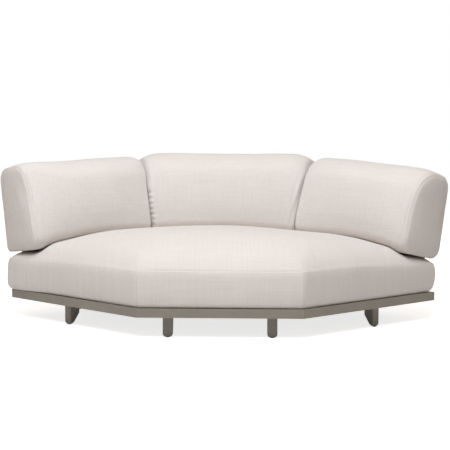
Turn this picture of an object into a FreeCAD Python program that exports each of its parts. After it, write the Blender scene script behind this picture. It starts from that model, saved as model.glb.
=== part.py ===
import FreeCAD, Part

import math
import os
import re

import Sketcher

# Corner module of a modular sofa.
# The base is a ring of six mitred rails: a straight front, an end at 45 degrees on each side,
# a back along each leg of the corner and a short rear where the corner is cut off.
# One crowned seat cushion lies on the base, and three back cushions lean on frames behind it.
# Frame: x to the right, y to the back, z up, origin on the floor under the middle of the sofa.

# Driving sizes in millimetres and degrees. Each one can be set by itself.
SIZES = {
    # plan of the base, measured on the outer faces of the rails
    "leg_length": (1500, "from the corner's virtual tip to the end of each leg"),
    "end_depth": (960, "seat depth at each end"),
    "rear_cut": (650, "from the corner's virtual tip to where the rear rail cuts it off"),
    # rails
    "rail_height": (42, "height of the hollow rail"),
    "rail_width": (80, "width of the rail, towards the middle of the base"),
    "rail_wall": (3, "wall of the rail"),
    "rail_lift": (94, "floor to the underside of the rails"),
    # corner brackets
    "bracket_reach": (60, "from the inner corner to the end of each flange"),
    "bracket_thickness": (4, "plate of the bracket"),
    "bracket_height": (26, "height of the bracket"),
    # joists and slats
    "joist_width": (40, "width of a joist"),
    "joist_wall": (3, "wall of a joist"),
    "inner_joist_distance": (182, "from a front corner to the middle of an inner joist"),
    "outer_joist_distance": (361, "from an end corner to the middle of an outer joist"),
    "slat_width": (80, "width of a deck slat"),
    "slat_height": (14, "height of a slat with its turned-down lips"),
    "slat_wall": (3, "sheet of a slat"),
    "slat_end_gap": (2, "from a slat's end to the rail"),
    "slat_edge_gap": (10, "from the first and last slat to the rail"),
    # feet
    "foot_width": (46, "width of a foot along its rail"),
    "foot_depth": (54, "depth of a foot at its top"),
    "foot_tip_depth": (15, "depth of a foot at its tip"),
    "foot_knee_height": (56, "floor to where the inner side starts to slant"),
    "foot_corner_radius": (15, "rounding of the tip's corners"),
    "foot_edge_chamfer": (4, "chamfer round the foot's outer face"),
    "foot_inset": (26, "from the rail's outer face to the foot"),
    "front_foot_distance": (143, "from a front corner to the middle of a front foot"),
    "end_foot_distance": (539, "from the front corner to the middle of an end foot"),
    "back_foot_distance": (400, "from the end corner to the middle of a back foot"),
    "rear_foot_distance": (160, "from a rear corner to the middle of a rear foot"),
    "glide_thickness": (3, "pad of a glide under the foot"),
    "glide_stem_diameter": (6, "stem of a glide"),
    "glide_stem_length": (12, "length of the stem in the foot"),
    "glide_stem_play": (0.2, "how much wider the stem's hole is"),
    # bolts
    "bolt_diameter": (8, "shank of a bolt"),
    "bolt_length": (20, "shank length of a bolt"),
    "bolt_head_diameter": (14, "head of a bolt"),
    "bolt_head_height": (5, "height of the head"),
    "bolt_spacing": (24, "between the two bolts of a pair"),
    "bolt_play": (0.4, "how much wider a bolt's hole is"),
    "access_play": (2, "how much wider the access slot is than the bolt heads"),
    # frames behind the back cushions
    "back_lean": (11.5, "lean of the backs from upright, in degrees"),
    "upright_width": (45, "width of an upright"),
    "upright_thickness": (12, "thickness of an upright"),
    "upright_reach": (490, "leaning length of an upright above its bend"),
    "upright_corner_radius": (12, "rounding of the upright's top corners"),
    "end_upright_distance": (120, "from the end corner to the middle of an outer upright"),
    "inner_upright_distance": (150, "from a rear corner to the middle of each upright beside it"),
    "bar_height": (40, "height of a cross bar"),
    "bar_thickness": (8, "thickness of a cross bar"),
    "bar_edge_chamfer": (1.5, "chamfer of a cross bar's long edges"),
    "bar_pitch": (150, "from one cross bar to the next"),
    "bar_top_margin": (10, "from the top cross bar to the end of the uprights"),
    # cushions
    "soft_gap": (0.5, "clearance round a cushion"),
    "cover_thickness": (3, "fabric cover with its lining"),
    "filling_play": (1.5, "between the cover and the filling"),
    "underside_thickness": (14, "padded underside of a back cushion's cover, where it rests on the seat"),
    "seat_border": (172, "height of the seat's boxed border"),
    "seat_crown": (141, "how far the seat's top rises above its border"),
    "seat_bulge": (12, "how far the border bulges past the rails"),
    "seat_tuck": (14, "how far the border's lower edge is drawn in"),
    "seat_corner_radius": (18, "rounding of the seat's upright corners"),
    "back_bottom": (182, "rail top to the underside of a back cushion, along the lean"),
    "side_outer_height": (430, "height of a side back cushion at its outer end"),
    "side_inner_height": (463, "height of a side back cushion at its mitre"),
    "centre_height": (476, "height of the centre back cushion"),
    "back_thickness": (244, "thickness of a back cushion at its ends"),
    "back_crown": (14, "how much thicker a back cushion is in its middle"),
    "back_taper": (16, "how much thinner a back cushion is near its top"),
    "back_front_crown": (8, "how far the front panel swells between bottom and top"),
    "back_front_radius": (120, "rounding of the top's front edge"),
    "back_rear_radius": (45, "rounding of the top's rear edge"),
    "back_foot_radius": (28, "rounding of the two bottom edges"),
    "outer_end_overhang": (6, "how far a side cushion stands past the end of the base"),
    "outer_end_round": (28, "rounding of a side cushion's outer end"),
    "outer_end_drop": (32, "how far the top falls off at the outer end"),
    "outer_end_reach": (110, "length over which it falls off"),
    "mitre_round": (16, "rounding of the mitred ends"),
    "mitre_drop": (46, "how far the top falls off at a mitre"),
    "mitre_reach": (110, "length over which it falls off at a mitre"),
    "mitre_gap": (1, "from a mitred end to the mitre's plane"),
    "panel_margin": (12, "from the seat's drawn-in lower edge to its base panel"),
}

SLAT_COUNT = 10
BAR_COUNT = 3
HOLE_SIDES = 8
BOLT_HEAD_SIDES = 6

# Half of the plan's turn at its front and rear corners and at its end corners, in degrees.
OBTUSE_HALF_TURN = 22.5
SQUARE_HALF_TURN = 45

# Headings of the six rails, walked anticlockwise seen from above, in degrees.
RAIL_ANGLES = {
    "front_rail": 0,
    "right_end_rail": 45,
    "right_back_rail": 135,
    "rear_rail": 180,
    "left_back_rail": 225,
    "left_end_rail": 315,
}

# Border of the seat from its lower edge to its top seam: shares of the border's height,
# of the tuck that draws it in and of the bulge that pushes it out.
BORDER_SHARES = (
    (0.00, 1.00, 0.00),
    (0.05, 0.22, 0.00),
    (0.17, 0.00, 0.42),
    (0.36, 0.00, 0.90),
    (0.60, 0.00, 1.00),
    (0.85, 0.00, 0.62),
    (1.00, 0.10, 0.00),
)

# Crown of the seat from its seam to its middle: shares of the crown's reach and of its height.
CROWN_SHARES = (
    (0.05, 0.20),
    (0.16, 0.46),
    (0.36, 0.70),
    (0.66, 0.91),
    (1.00, 1.00),
)
CROWN_REACH_SHARE = 0.66
CROWN_ROUNDING_SHARE = 2.4
CORNER_LIMIT_SHARE = 0.45

# End of a back cushion: shares of its end rounding along the cushion and into its profile.
END_ROUND_SHARES = ((0.0, 1.0), (0.28, 0.28), (1.0, 0.0))
# Further sections of a back cushion, as shares of its length.
MIDDLE_SHARES = (0.13, 0.5, 0.87)
# How far off its plane a corner of a flat face may lie.
FLAT_LIMIT = 0.0000001
# The forms inside the covers take every second one of these sections.
PLAIN_SKIP_COUNT = 2

doc = FreeCAD.newDocument("ModularSofa")
sheet = doc.addObject("Spreadsheet::Sheet", "Sizes")
for row, (alias, (number, meaning)) in enumerate(SIZES.items(), start=1):
    sheet.set("A%d" % row, alias)
    sheet.set("B%d" % row, str(number))
    sheet.set("C%d" % row, meaning)
    sheet.setAlias("B%d" % row, alias)
doc.recompute()

XDIR = FreeCAD.Vector(1, 0, 0)
ZDIR = FreeCAD.Vector(0, 0, 1)


def size(alias):
    """The number in a named cell."""
    return float(sheet.get(alias))


def sized(formula):
    """The formula with each size's name pointed at its cell."""
    return re.sub(r"[a-z]+(?:_[a-z]+)+", lambda found: "Sizes." + found.group(0), formula)


LEAN = math.radians(size("back_lean"))
OBTUSE_TAN = math.tan(math.radians(OBTUSE_HALF_TURN))
RAIL_TOP = size("rail_lift") + size("rail_height")

# Formulas for the plan, shared by the sketches.
FRONT_LENGTH = "sqrt(2) * (leg_length - end_depth)"
REAR_LENGTH = "sqrt(2) * rear_cut"
SIDE_LENGTH = "(leg_length - rear_cut)"
PLAN_DEPTH = "(leg_length + end_depth - rear_cut) / sqrt(2)"

RAIL_LENGTHS = {
    "front_rail": FRONT_LENGTH,
    "right_end_rail": "end_depth",
    "right_back_rail": SIDE_LENGTH,
    "rear_rail": REAR_LENGTH,
    "left_back_rail": SIDE_LENGTH,
    "left_end_rail": "end_depth",
}

plan_depth = (size("leg_length") + size("end_depth") - size("rear_cut")) / math.sqrt(2)
# The rear cushion's leaning back reaches furthest behind the rails, the seat's bulge furthest before them.
lean_reach = (size("back_bottom") + size("centre_height") - size("mitre_round")) * math.sin(LEAN)
front_y = -(plan_depth + lean_reach - size("seat_bulge")) / 2


def plan_corners(inset):
    """The plan's corners, drawn in by inset, anticlockwise from the front left one."""
    front_x = (size("leg_length") - size("end_depth")) / math.sqrt(2) - inset * OBTUSE_TAN
    end_x = size("leg_length") / math.sqrt(2) - inset * math.sqrt(2)
    rear_x = size("rear_cut") / math.sqrt(2) - inset * OBTUSE_TAN
    end_y = front_y + size("end_depth") / math.sqrt(2)
    rear_y = front_y + plan_depth - inset
    return [
        FreeCAD.Vector(-front_x, front_y + inset, 0),
        FreeCAD.Vector(front_x, front_y + inset, 0),
        FreeCAD.Vector(end_x, end_y, 0),
        FreeCAD.Vector(rear_x, rear_y, 0),
        FreeCAD.Vector(-rear_x, rear_y, 0),
        FreeCAD.Vector(-end_x, end_y, 0),
    ]


def rail_frame(rail, along=0.0, height=0.0):
    """A placement on a rail's outer face: x along the rail, y towards the middle of the base."""
    corners = plan_corners(0)
    index = list(RAIL_ANGLES).index(rail)
    middle = (corners[index] + corners[(index + 1) % len(corners)]) * 0.5
    turn = FreeCAD.Rotation(ZDIR, RAIL_ANGLES[rail])
    base = middle + turn.multVec(XDIR * along) + ZDIR * height
    return FreeCAD.Placement(base, turn)


# Helpers for bodies and sketches


def new_body(label, placement):
    body = doc.addObject("PartDesign::Body", label)
    body.Label = label
    body.Placement = placement
    return body


def new_sketch(body, role, offset="0"):
    """A sketch on one of the body's own planes, raised by the offset formula."""
    sketch = body.newObject("Sketcher::SketchObject", body.Name + "_sketch")
    plane = next(item for item in body.Origin.OriginFeatures if item.Role == role)
    sketch.AttachmentSupport = [(plane, "")]
    sketch.MapMode = "FlatFace"
    sketch.setExpression("AttachmentOffset.Base.z", sized(offset))
    return sketch


def draw_outline(sketch, corners):
    """A closed outline through corners that are pairs of formulas."""
    first = sketch.GeometryCount
    count = len(corners)
    spots = []
    for number in range(count):
        turn = 2 * math.pi * number / count
        spots.append(FreeCAD.Vector(math.cos(turn), math.sin(turn), 0))
    for number in range(count):
        sketch.addGeometry(Part.LineSegment(spots[number], spots[(number + 1) % count]), False)
    for number in range(count):
        follower = first + (number + 1) % count
        sketch.addConstraint(Sketcher.Constraint("Coincident", first + number, 2, follower, 1))
    for number, (across, up) in enumerate(corners):
        for kind, formula in (("DistanceX", across), ("DistanceY", up)):
            held = Sketcher.Constraint(kind, -1, 1, first + number, 1, 1.0)
            index = sketch.addConstraint(held)
            sketch.setExpression("Constraints[%d]" % index, sized(formula))


def draw_rectangle(sketch, left, low, right, high):
    draw_outline(sketch, [(left, low), (right, low), (right, high), (left, high)])


def draw_even_sides(sketch, sides, across, up, diameter):
    """A regular outline with its corners on a circle: few sides keep repeated small holes light."""
    corners = []
    for number in range(sides):
        turn = 360 * (number + 0.5) / sides
        corner_across = "%s + (%s) / 2 * cos(%s)" % (across, diameter, turn)
        corner_up = "%s + (%s) / 2 * sin(%s)" % (up, diameter, turn)
        corners.append((corner_across, corner_up))
    draw_outline(sketch, corners)


def draw_bolt_pair(sketch, across, up, diameter):
    for side in ("-", "+"):
        draw_even_sides(sketch, HOLE_SIDES, "%s %s bolt_spacing / 2" % (across, side), up, diameter)


def add_pad(body, sketch, length, midplane=False, reverse=False):
    pad = body.newObject("PartDesign::Pad", body.Name + "_pad")
    pad.Profile = sketch
    pad.Midplane = midplane
    pad.Reversed = reverse
    pad.setExpression("Length", sized(length))
    return pad


def add_pocket(body, sketch, length, reverse=False):
    pocket = body.newObject("PartDesign::Pocket", body.Name + "_pocket")
    pocket.Profile = sketch
    pocket.Reversed = reverse
    pocket.setExpression("Length", sized(length))
    return pocket


def add_through_pocket(body, sketch):
    pocket = body.newObject("PartDesign::Pocket", body.Name + "_hollow")
    pocket.Profile = sketch
    pocket.Type = 1
    pocket.Midplane = True
    return pocket


def dress_edges(body, kind, feature, wanted, reach):
    """Rounds or chamfers the feature's edges whose middle, in the body's own frame, passes the wanted test."""
    doc.recompute()
    names = []
    for number, edge in enumerate(feature.Shape.Edges, start=1):
        if wanted(edge.CenterOfMass):
            names.append("Edge%d" % number)
    dressed = body.newObject(kind, body.Name + "_edges")
    dressed.Base = (feature, names)
    dressed.setExpression("Radius" if kind == "PartDesign::Fillet" else "Size", sized(reach))
    return dressed


def add_fillet(body, feature, wanted, radius):
    return dress_edges(body, "PartDesign::Fillet", feature, wanted, radius)


# Rails


def mitre(half_turn):
    return "rail_width * tan(%s)" % half_turn


def make_rail(rail, foot_places, upright_places):
    """A hollow rail with mitred ends, bolt holes below and outside, and an access slot over each foot."""
    square_start = rail in ("right_back_rail", "left_end_rail")
    square_end = rail in ("right_end_rail", "left_back_rail")
    start = mitre(SQUARE_HALF_TURN if square_start else OBTUSE_HALF_TURN)
    end = mitre(SQUARE_HALF_TURN if square_end else OBTUSE_HALF_TURN)
    half = "%s / 2" % RAIL_LENGTHS[rail]
    body = new_body(rail, rail_frame(rail, height=size("rail_lift")))
    plan = new_sketch(body, "XY_Plane")
    draw_outline(plan, [
        ("-" + half, "0"),
        (half, "0"),
        (half + " - " + end, "rail_width"),
        ("-" + half + " + " + start, "rail_width"),
    ])
    add_pad(body, plan, "rail_height")
    bore = new_sketch(body, "YZ_Plane")
    draw_rectangle(bore, "rail_wall", "rail_wall", "rail_width - rail_wall", "rail_height - rail_wall")
    add_through_pocket(body, bore)
    bolt_line = "foot_inset + foot_depth / 2"
    holes = new_sketch(body, "XY_Plane")
    access = new_sketch(body, "XY_Plane", "rail_height")
    reach = "(bolt_spacing + bolt_head_diameter + access_play) / 2"
    side = "(bolt_head_diameter + access_play) / 2"
    for place in foot_places:
        draw_bolt_pair(holes, place, bolt_line, "bolt_diameter + bolt_play")
        draw_rectangle(
            access,
            "%s - %s" % (place, reach),
            "%s - %s" % (bolt_line, side),
            "%s + %s" % (place, reach),
            "%s + %s" % (bolt_line, side),
        )
    add_pocket(body, holes, "rail_wall", reverse=True)
    add_pocket(body, access, "rail_wall")
    if upright_places:
        face = new_sketch(body, "XZ_Plane")
        for place in upright_places:
            draw_bolt_pair(face, place, "rail_height / 2", "bolt_diameter + bolt_play")
        add_pocket(body, face, "rail_wall")
    return body


# Places along each rail, measured from its middle: formulas for the sketches.
FOOT_PLACES = {
    "front_rail": {
        "front_left_foot": "front_foot_distance - %s / 2" % FRONT_LENGTH,
        "front_right_foot": "%s / 2 - front_foot_distance" % FRONT_LENGTH,
    },
    "right_end_rail": {"right_end_foot": "end_foot_distance - end_depth / 2"},
    "right_back_rail": {"right_back_foot": "back_foot_distance - %s / 2" % SIDE_LENGTH},
    "rear_rail": {
        "rear_right_foot": "rear_foot_distance - %s / 2" % REAR_LENGTH,
        "rear_left_foot": "%s / 2 - rear_foot_distance" % REAR_LENGTH,
    },
    "left_back_rail": {"left_back_foot": "%s / 2 - back_foot_distance" % SIDE_LENGTH},
    "left_end_rail": {"left_end_foot": "end_depth / 2 - end_foot_distance"},
}
UPRIGHT_PLACES = {
    "right_back_rail": {
        "right_outer_upright": "end_upright_distance - %s / 2" % SIDE_LENGTH,
        "right_inner_upright": "%s / 2 - inner_upright_distance" % SIDE_LENGTH,
    },
    "rear_rail": {
        "rear_right_upright": "inner_upright_distance - %s / 2" % REAR_LENGTH,
        "rear_left_upright": "%s / 2 - inner_upright_distance" % REAR_LENGTH,
    },
    "left_back_rail": {
        "left_inner_upright": "inner_upright_distance - %s / 2" % SIDE_LENGTH,
        "left_outer_upright": "%s / 2 - end_upright_distance" % SIDE_LENGTH,
    },
}

# The same places as numbers.
front_half = (size("leg_length") - size("end_depth")) / math.sqrt(2)
side_half = (size("leg_length") - size("rear_cut")) / 2
rear_half = size("rear_cut") / math.sqrt(2)
end_half = size("end_depth") / 2
FOOT_SPOTS = {
    "front_left_foot": size("front_foot_distance") - front_half,
    "front_right_foot": front_half - size("front_foot_distance"),
    "right_end_foot": size("end_foot_distance") - end_half,
    "right_back_foot": size("back_foot_distance") - side_half,
    "rear_right_foot": size("rear_foot_distance") - rear_half,
    "rear_left_foot": rear_half - size("rear_foot_distance"),
    "left_back_foot": side_half - size("back_foot_distance"),
    "left_end_foot": end_half - size("end_foot_distance"),
}
UPRIGHT_SPOTS = {
    "right_outer_upright": size("end_upright_distance") - side_half,
    "right_inner_upright": side_half - size("inner_upright_distance"),
    "rear_right_upright": size("inner_upright_distance") - rear_half,
    "rear_left_upright": rear_half - size("inner_upright_distance"),
    "left_inner_upright": size("inner_upright_distance") - side_half,
    "left_outer_upright": side_half - size("end_upright_distance"),
}

nodes = []
for rail in RAIL_ANGLES:
    uprights = list(UPRIGHT_PLACES.get(rail, {}).values())
    nodes.append(make_rail(rail, list(FOOT_PLACES[rail].values()), uprights))


# Prisms with the plan's outline, which trim the joists, slats and brackets


def inset_corners(inset):
    """The plan's corners drawn in by a formula, measured from the middle of the front edge."""
    front_x = "(leg_length - end_depth) / sqrt(2) - (%s) * tan(%s)" % (inset, OBTUSE_HALF_TURN)
    end_x = "leg_length / sqrt(2) - (%s) * sqrt(2)" % inset
    rear_x = "rear_cut / sqrt(2) - (%s) * tan(%s)" % (inset, OBTUSE_HALF_TURN)
    end_y = "end_depth / sqrt(2)"
    rear_y = "%s - (%s)" % (PLAN_DEPTH, inset)
    right = [(front_x, inset), (end_x, end_y), (rear_x, rear_y)]
    left = [("-(%s)" % across, up) for across, up in reversed(right)]
    return right + left


def plan_prism(label, inset, height):
    spot = FreeCAD.Vector(0, front_y, size("rail_lift"))
    body = new_body(label, FreeCAD.Placement(spot, FreeCAD.Rotation()))
    outline = new_sketch(body, "XY_Plane")
    draw_outline(outline, inset_corners(inset))
    add_pad(body, outline, height)
    return body


def combine(kind, label, base, tool):
    made = doc.addObject(kind, label)
    made.Label = label
    made.Base = base
    made.Tool = tool
    return made


ring_bore = plan_prism("ring_bore", "rail_width", "rail_height")
slat_field = plan_prism("slat_field", "rail_width + slat_end_gap", "rail_height")
bracket_field = plan_prism("bracket_field", "rail_width", "bracket_height")
bracket_core = plan_prism("bracket_core", "rail_width + bracket_thickness", "bracket_height")


def make_brackets(label, numbers):
    """Bent plates on the inner side of the ring's corners, trimmed by a cylinder at each corner."""
    corners = plan_corners(size("rail_width"))
    cylinders = []
    for number in numbers:
        cylinder = doc.addObject("Part::Cylinder", "bracket_reach_%d" % number)
        cylinder.setExpression("Radius", sized("bracket_reach"))
        cylinder.setExpression("Height", sized("bracket_height"))
        spot = corners[number] + ZDIR * size("rail_lift")
        cylinder.Placement = FreeCAD.Placement(spot, FreeCAD.Rotation())
        cylinders.append(cylinder)
    reach = doc.addObject("Part::MultiFuse", label + "_reach")
    reach.Shapes = cylinders
    return combine("Part::Common", label, bracket_ring, reach)


bracket_ring = combine("Part::Cut", "bracket_ring", bracket_field, bracket_core)
nodes.append(make_brackets("obtuse_corner_brackets", (0, 1, 3, 4)))
nodes.append(make_brackets("square_corner_brackets", (2, 5)))


# Joists and slats


def make_joist(label, across):
    """A hollow joist from front to back under the slats, cut off at the rails' inner faces."""
    spot = FreeCAD.Vector(across, front_y, size("rail_lift"))
    body = new_body(label + "_bar", FreeCAD.Placement(spot, FreeCAD.Rotation()))
    section = new_sketch(body, "XZ_Plane")
    top = "rail_height - slat_height"
    draw_rectangle(section, "-joist_width / 2", "0", "joist_width / 2", top)
    inner = "joist_width / 2 - joist_wall"
    draw_rectangle(section, "joist_wall - joist_width / 2", "joist_wall", inner, top + " - joist_wall")
    add_pad(body, section, PLAN_DEPTH, reverse=True)
    return combine("Part::Common", label, body, ring_bore)


inner_joist = front_half - size("inner_joist_distance")
outer_joist = size("leg_length") / math.sqrt(2) - size("outer_joist_distance")
for side, sign in (("left", -1), ("right", 1)):
    nodes.append(make_joist("inner_%s_joist" % side, sign * inner_joist))
    nodes.append(make_joist("outer_%s_joist" % side, sign * outer_joist))


def make_slat(label, back):
    """A slat across the deck with its two long edges turned down, trimmed to the ring."""
    spot = FreeCAD.Vector(0, front_y + back, RAIL_TOP - size("slat_height"))
    body = new_body(label + "_sheet", FreeCAD.Placement(spot, FreeCAD.Rotation()))
    section = new_sketch(body, "YZ_Plane")
    draw_outline(section, [
        ("0", "0"),
        ("slat_wall", "0"),
        ("slat_wall", "slat_height - slat_wall"),
        ("slat_width - slat_wall", "slat_height - slat_wall"),
        ("slat_width - slat_wall", "0"),
        ("slat_width", "0"),
        ("slat_width", "slat_height"),
        ("0", "slat_height"),
    ])
    add_pad(body, section, "sqrt(2) * leg_length", midplane=True)
    return combine("Part::Common", label, body, slat_field)


first_slat = size("rail_width") + size("slat_edge_gap")
last_slat = plan_depth - first_slat - size("slat_width")
for number in range(SLAT_COUNT):
    back = first_slat + (last_slat - first_slat) * number / (SLAT_COUNT - 1)
    nodes.append(make_slat("deck_slat_%d" % (number + 1), back))


# Feet and glides


def make_foot(label, placement):
    """A blade foot: chamfered outer face, inner side slanting to a narrow tip with rounded corners."""
    body = new_body(label, placement)
    profile = new_sketch(body, "YZ_Plane")
    draw_outline(profile, [
        ("0", "glide_thickness"),
        ("foot_tip_depth", "glide_thickness"),
        ("foot_depth", "foot_knee_height"),
        ("foot_depth", "rail_lift"),
        ("0", "rail_lift"),
    ])
    blade = add_pad(body, profile, "foot_width", midplane=True)
    low = size("glide_thickness") + size("foot_corner_radius") / 2
    side = size("foot_width") / 4
    near = size("foot_tip_depth") / 4
    rounded = add_fillet(body, blade, lambda middle: middle.z < low and abs(middle.x) > side, "foot_corner_radius")

    def outer_upright(middle):
        return middle.y < near and middle.x > side and middle.z > low

    dress_edges(body, "PartDesign::Chamfer", rounded, outer_upright, "foot_edge_chamfer")
    top = new_sketch(body, "XY_Plane", "rail_lift")
    draw_bolt_pair(top, "0", "foot_depth / 2", "bolt_diameter + bolt_play")
    add_pocket(body, top, "bolt_length - rail_wall + bolt_play")
    tip = new_sketch(body, "XY_Plane", "glide_thickness")
    middle = "(foot_tip_depth + foot_edge_chamfer) / 2"
    draw_even_sides(tip, HOLE_SIDES, "0", middle, "glide_stem_diameter + glide_stem_play")
    add_pocket(body, tip, "glide_stem_length + glide_stem_play", reverse=True)
    return body


def make_glide():
    """A glide: a pad under the foot's tip with a stem that is pushed into it."""
    body = new_body("glide", FreeCAD.Placement())
    pad = new_sketch(body, "XY_Plane")
    half = "(foot_width / 2 - foot_corner_radius)"
    middle = "(foot_tip_depth + foot_edge_chamfer) / 2"
    draw_rectangle(pad, "-" + half, "foot_edge_chamfer", half, "foot_tip_depth")
    add_pad(body, pad, "glide_thickness")
    stem = new_sketch(body, "XY_Plane", "glide_thickness")
    draw_even_sides(stem, HOLE_SIDES, "0", middle, "glide_stem_diameter")
    add_pad(body, stem, "glide_stem_length")
    return body


def make_bolt():
    """A bolt that stands on its shank, with the underside of its head at z 0."""
    body = new_body("bolt", FreeCAD.Placement())
    shank = new_sketch(body, "XY_Plane", "-bolt_length")
    draw_even_sides(shank, HOLE_SIDES, "0", "0", "bolt_diameter")
    add_pad(body, shank, "bolt_length")
    head = new_sketch(body, "XY_Plane")
    draw_even_sides(head, BOLT_HEAD_SIDES, "0", "0", "bolt_head_diameter")
    add_pad(body, head, "bolt_head_height")
    return body


def make_group(label, piece, spots):
    """Separate copies of one small piece, as one node."""
    doc.recompute()
    group = doc.addObject("Part::Feature", label)
    group.Label = label
    copies = []
    for spot in spots:
        copy = piece.Shape.copy()
        copy.Placement = spot
        copies.append(copy)
    group.Shape = Part.makeCompound(copies)
    group.Placement = FreeCAD.Placement()
    return group


def shifted(frame, x, y, z, tilt=0.0):
    """A place in a frame, tilted about its x axis by degrees."""
    return frame * FreeCAD.Placement(FreeCAD.Vector(x, y, z), FreeCAD.Rotation(XDIR, tilt))


foot_spots = {}
for rail, places in FOOT_PLACES.items():
    for label in places:
        foot_spots[label] = shifted(rail_frame(rail, FOOT_SPOTS[label]), 0, size("foot_inset"), 0)
for label, spot in foot_spots.items():
    nodes.append(make_foot(label, spot))
nodes.append(make_group("foot_glides", make_glide(), foot_spots.values()))


# Uprights and cross bars behind the cushions


def make_upright(label, placement):
    """A flat bar bolted upright to the rail's outer face and bent back above it."""
    body = new_body(label, placement)
    bend = "(rail_lift + rail_height)"
    back = "(upright_reach * sin(back_lean))"
    top = "(%s + upright_reach * cos(back_lean))" % bend
    profile = new_sketch(body, "YZ_Plane")
    draw_outline(profile, [
        ("0", "rail_lift"),
        ("0", bend),
        ("-" + back, top),
        ("-%s - upright_thickness * cos(back_lean)" % back, "%s - upright_thickness * sin(back_lean)" % top),
        ("-upright_thickness", "%s - upright_thickness * tan(back_lean / 2)" % bend),
        ("-upright_thickness", "rail_lift"),
    ])
    bar = add_pad(body, profile, "upright_width", midplane=True)
    high = RAIL_TOP + size("upright_reach") * math.cos(LEAN) - size("upright_thickness")
    side = size("upright_width") / 4
    add_fillet(body, bar, lambda middle: middle.z > high and abs(middle.x) > side, "upright_corner_radius")
    face = new_sketch(body, "XZ_Plane")
    draw_bolt_pair(face, "0", "rail_lift + rail_height / 2", "bolt_diameter + bolt_play")
    add_pocket(body, face, "upright_thickness", reverse=True)
    return body


def make_bar(label, length, placement):
    """A cross bar between two uprights, flush with their front faces."""
    body = new_body(label, placement)
    section = new_sketch(body, "YZ_Plane")
    draw_rectangle(section, "-bar_thickness", "-bar_height / 2", "0", "bar_height / 2")
    bar = add_pad(body, section, length, midplane=True)
    near = size("bar_thickness") / 4
    dress_edges(body, "PartDesign::Chamfer", bar, lambda middle: abs(middle.x) < near, "bar_edge_chamfer")
    return body


for rail, places in UPRIGHT_PLACES.items():
    for label in places:
        nodes.append(make_upright(label, rail_frame(rail, UPRIGHT_SPOTS[label])))

SIDE_BAR = SIDE_LENGTH + " - end_upright_distance - inner_upright_distance - upright_width"
REAR_BAR = REAR_LENGTH + " - 2 * inner_upright_distance - upright_width"
for side, rail, length in (
    ("left", "left_back_rail", SIDE_BAR),
    ("rear", "rear_rail", REAR_BAR),
    ("right", "right_back_rail", SIDE_BAR),
):
    ends = [UPRIGHT_SPOTS[label] for label in UPRIGHT_PLACES[rail]]
    leaning = shifted(rail_frame(rail, sum(ends) / 2, RAIL_TOP), 0, 0, 0, size("back_lean"))
    top_bar = size("upright_reach") - size("bar_top_margin") - size("bar_height") / 2
    for number in range(BAR_COUNT):
        along = top_bar - size("bar_pitch") * number
        nodes.append(make_bar("%s_back_bar_%d" % (side, number + 1), length, shifted(leaning, 0, 0, along)))


def bolt_spots():
    """Where the bolts stand: head up on the rail's lower wall, head out on each upright."""
    spots = []
    half = size("bolt_spacing") / 2
    for foot in foot_spots.values():
        for side in (-half, half):
            spots.append(shifted(foot, side, size("foot_depth") / 2, size("rail_lift") + size("rail_wall")))
    for rail, places in UPRIGHT_PLACES.items():
        for label in places:
            for side in (-half, half):
                frame = rail_frame(rail, UPRIGHT_SPOTS[label], size("rail_lift") + size("rail_height") / 2)
                spots.append(shifted(frame, side, -size("upright_thickness"), 0, 90))
    return spots


nodes.append(make_group("frame_bolts", make_bolt(), bolt_spots()))


# Cushions


def line(start, end):
    return Part.LineSegment(start, end).toShape()


def curve(start, through, end, plain):
    """An arc through three points, or in a plain inner form its two chords."""
    if plain:
        return [line(start, through), line(through, end)]
    return [Part.Arc(start, through, end).toShape()]


def band_faces(low, high):
    """The faces between two edges of neighbouring sections, flat where both edges are straight."""
    corners = [low.firstVertex().Point, low.lastVertex().Point]
    corners += [high.lastVertex().Point, high.firstVertex().Point]
    straight = low.Curve.TypeId == high.Curve.TypeId == "Part::GeomLine"
    across = (corners[1] - corners[0]).cross(corners[3] - corners[0])
    off_plane = abs(across.normalize().dot(corners[2] - corners[0]))
    if straight and off_plane < FLAT_LIMIT:
        return [Part.Face(Part.makePolygon(corners + corners[:1]))]
    if straight:
        halves = (corners[:3] + corners[:1], corners[2:] + corners[:1] + corners[2:3])
        return [Part.Face(Part.makePolygon(half)) for half in halves]
    return [Part.makeRuledSurface(low, high)]


def soft_solid(sections):
    """The closed solid through sections, each a list of edges in the same order."""
    faces = [Part.Face(Part.Wire(sections[0])), Part.Face(Part.Wire(sections[-1]))]
    for number in range(1, len(sections)):
        for low, high in zip(sections[number - 1], sections[number]):
            faces += band_faces(low, high)
    solid = Part.makeSolid(Part.makeShell(faces))
    if solid.Volume < 0:
        solid.reverse()
    return solid


def corner_round(before, corner, after, radius, longest):
    """Start, middle and end of the arc that rounds a corner and takes no more than longest of an edge."""
    first = (before - corner).normalize()
    second = (after - corner).normalize()
    half = first.getAngle(second) / 2
    inward = (first + second).normalize()
    reach = min(radius / math.tan(half), longest)
    radius = reach * math.tan(half)
    middle = corner + inward * (radius / math.sin(half) - radius)
    return corner + first * reach, middle, corner + second * reach


def seat_section(inset, radius, level, plain):
    """The plan's outline drawn in by inset, with rounded corners, at one level."""
    corners = plan_corners(inset)
    count = len(corners)
    shortest = min((corners[n] - corners[n - 1]).Length for n in range(count))
    longest = CORNER_LIMIT_SHARE * shortest
    rounds = []
    for number in range(count):
        before = corners[number - 1]
        after = corners[(number + 1) % count]
        points = corner_round(before, corners[number], after, radius, longest)
        rounds.append([point + ZDIR * level for point in points])
    edges = []
    for number in range(count):
        start, through, end = rounds[number]
        edges += curve(start, through, end, plain)
        edges.append(line(end, rounds[(number + 1) % count][0]))
    return edges


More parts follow.
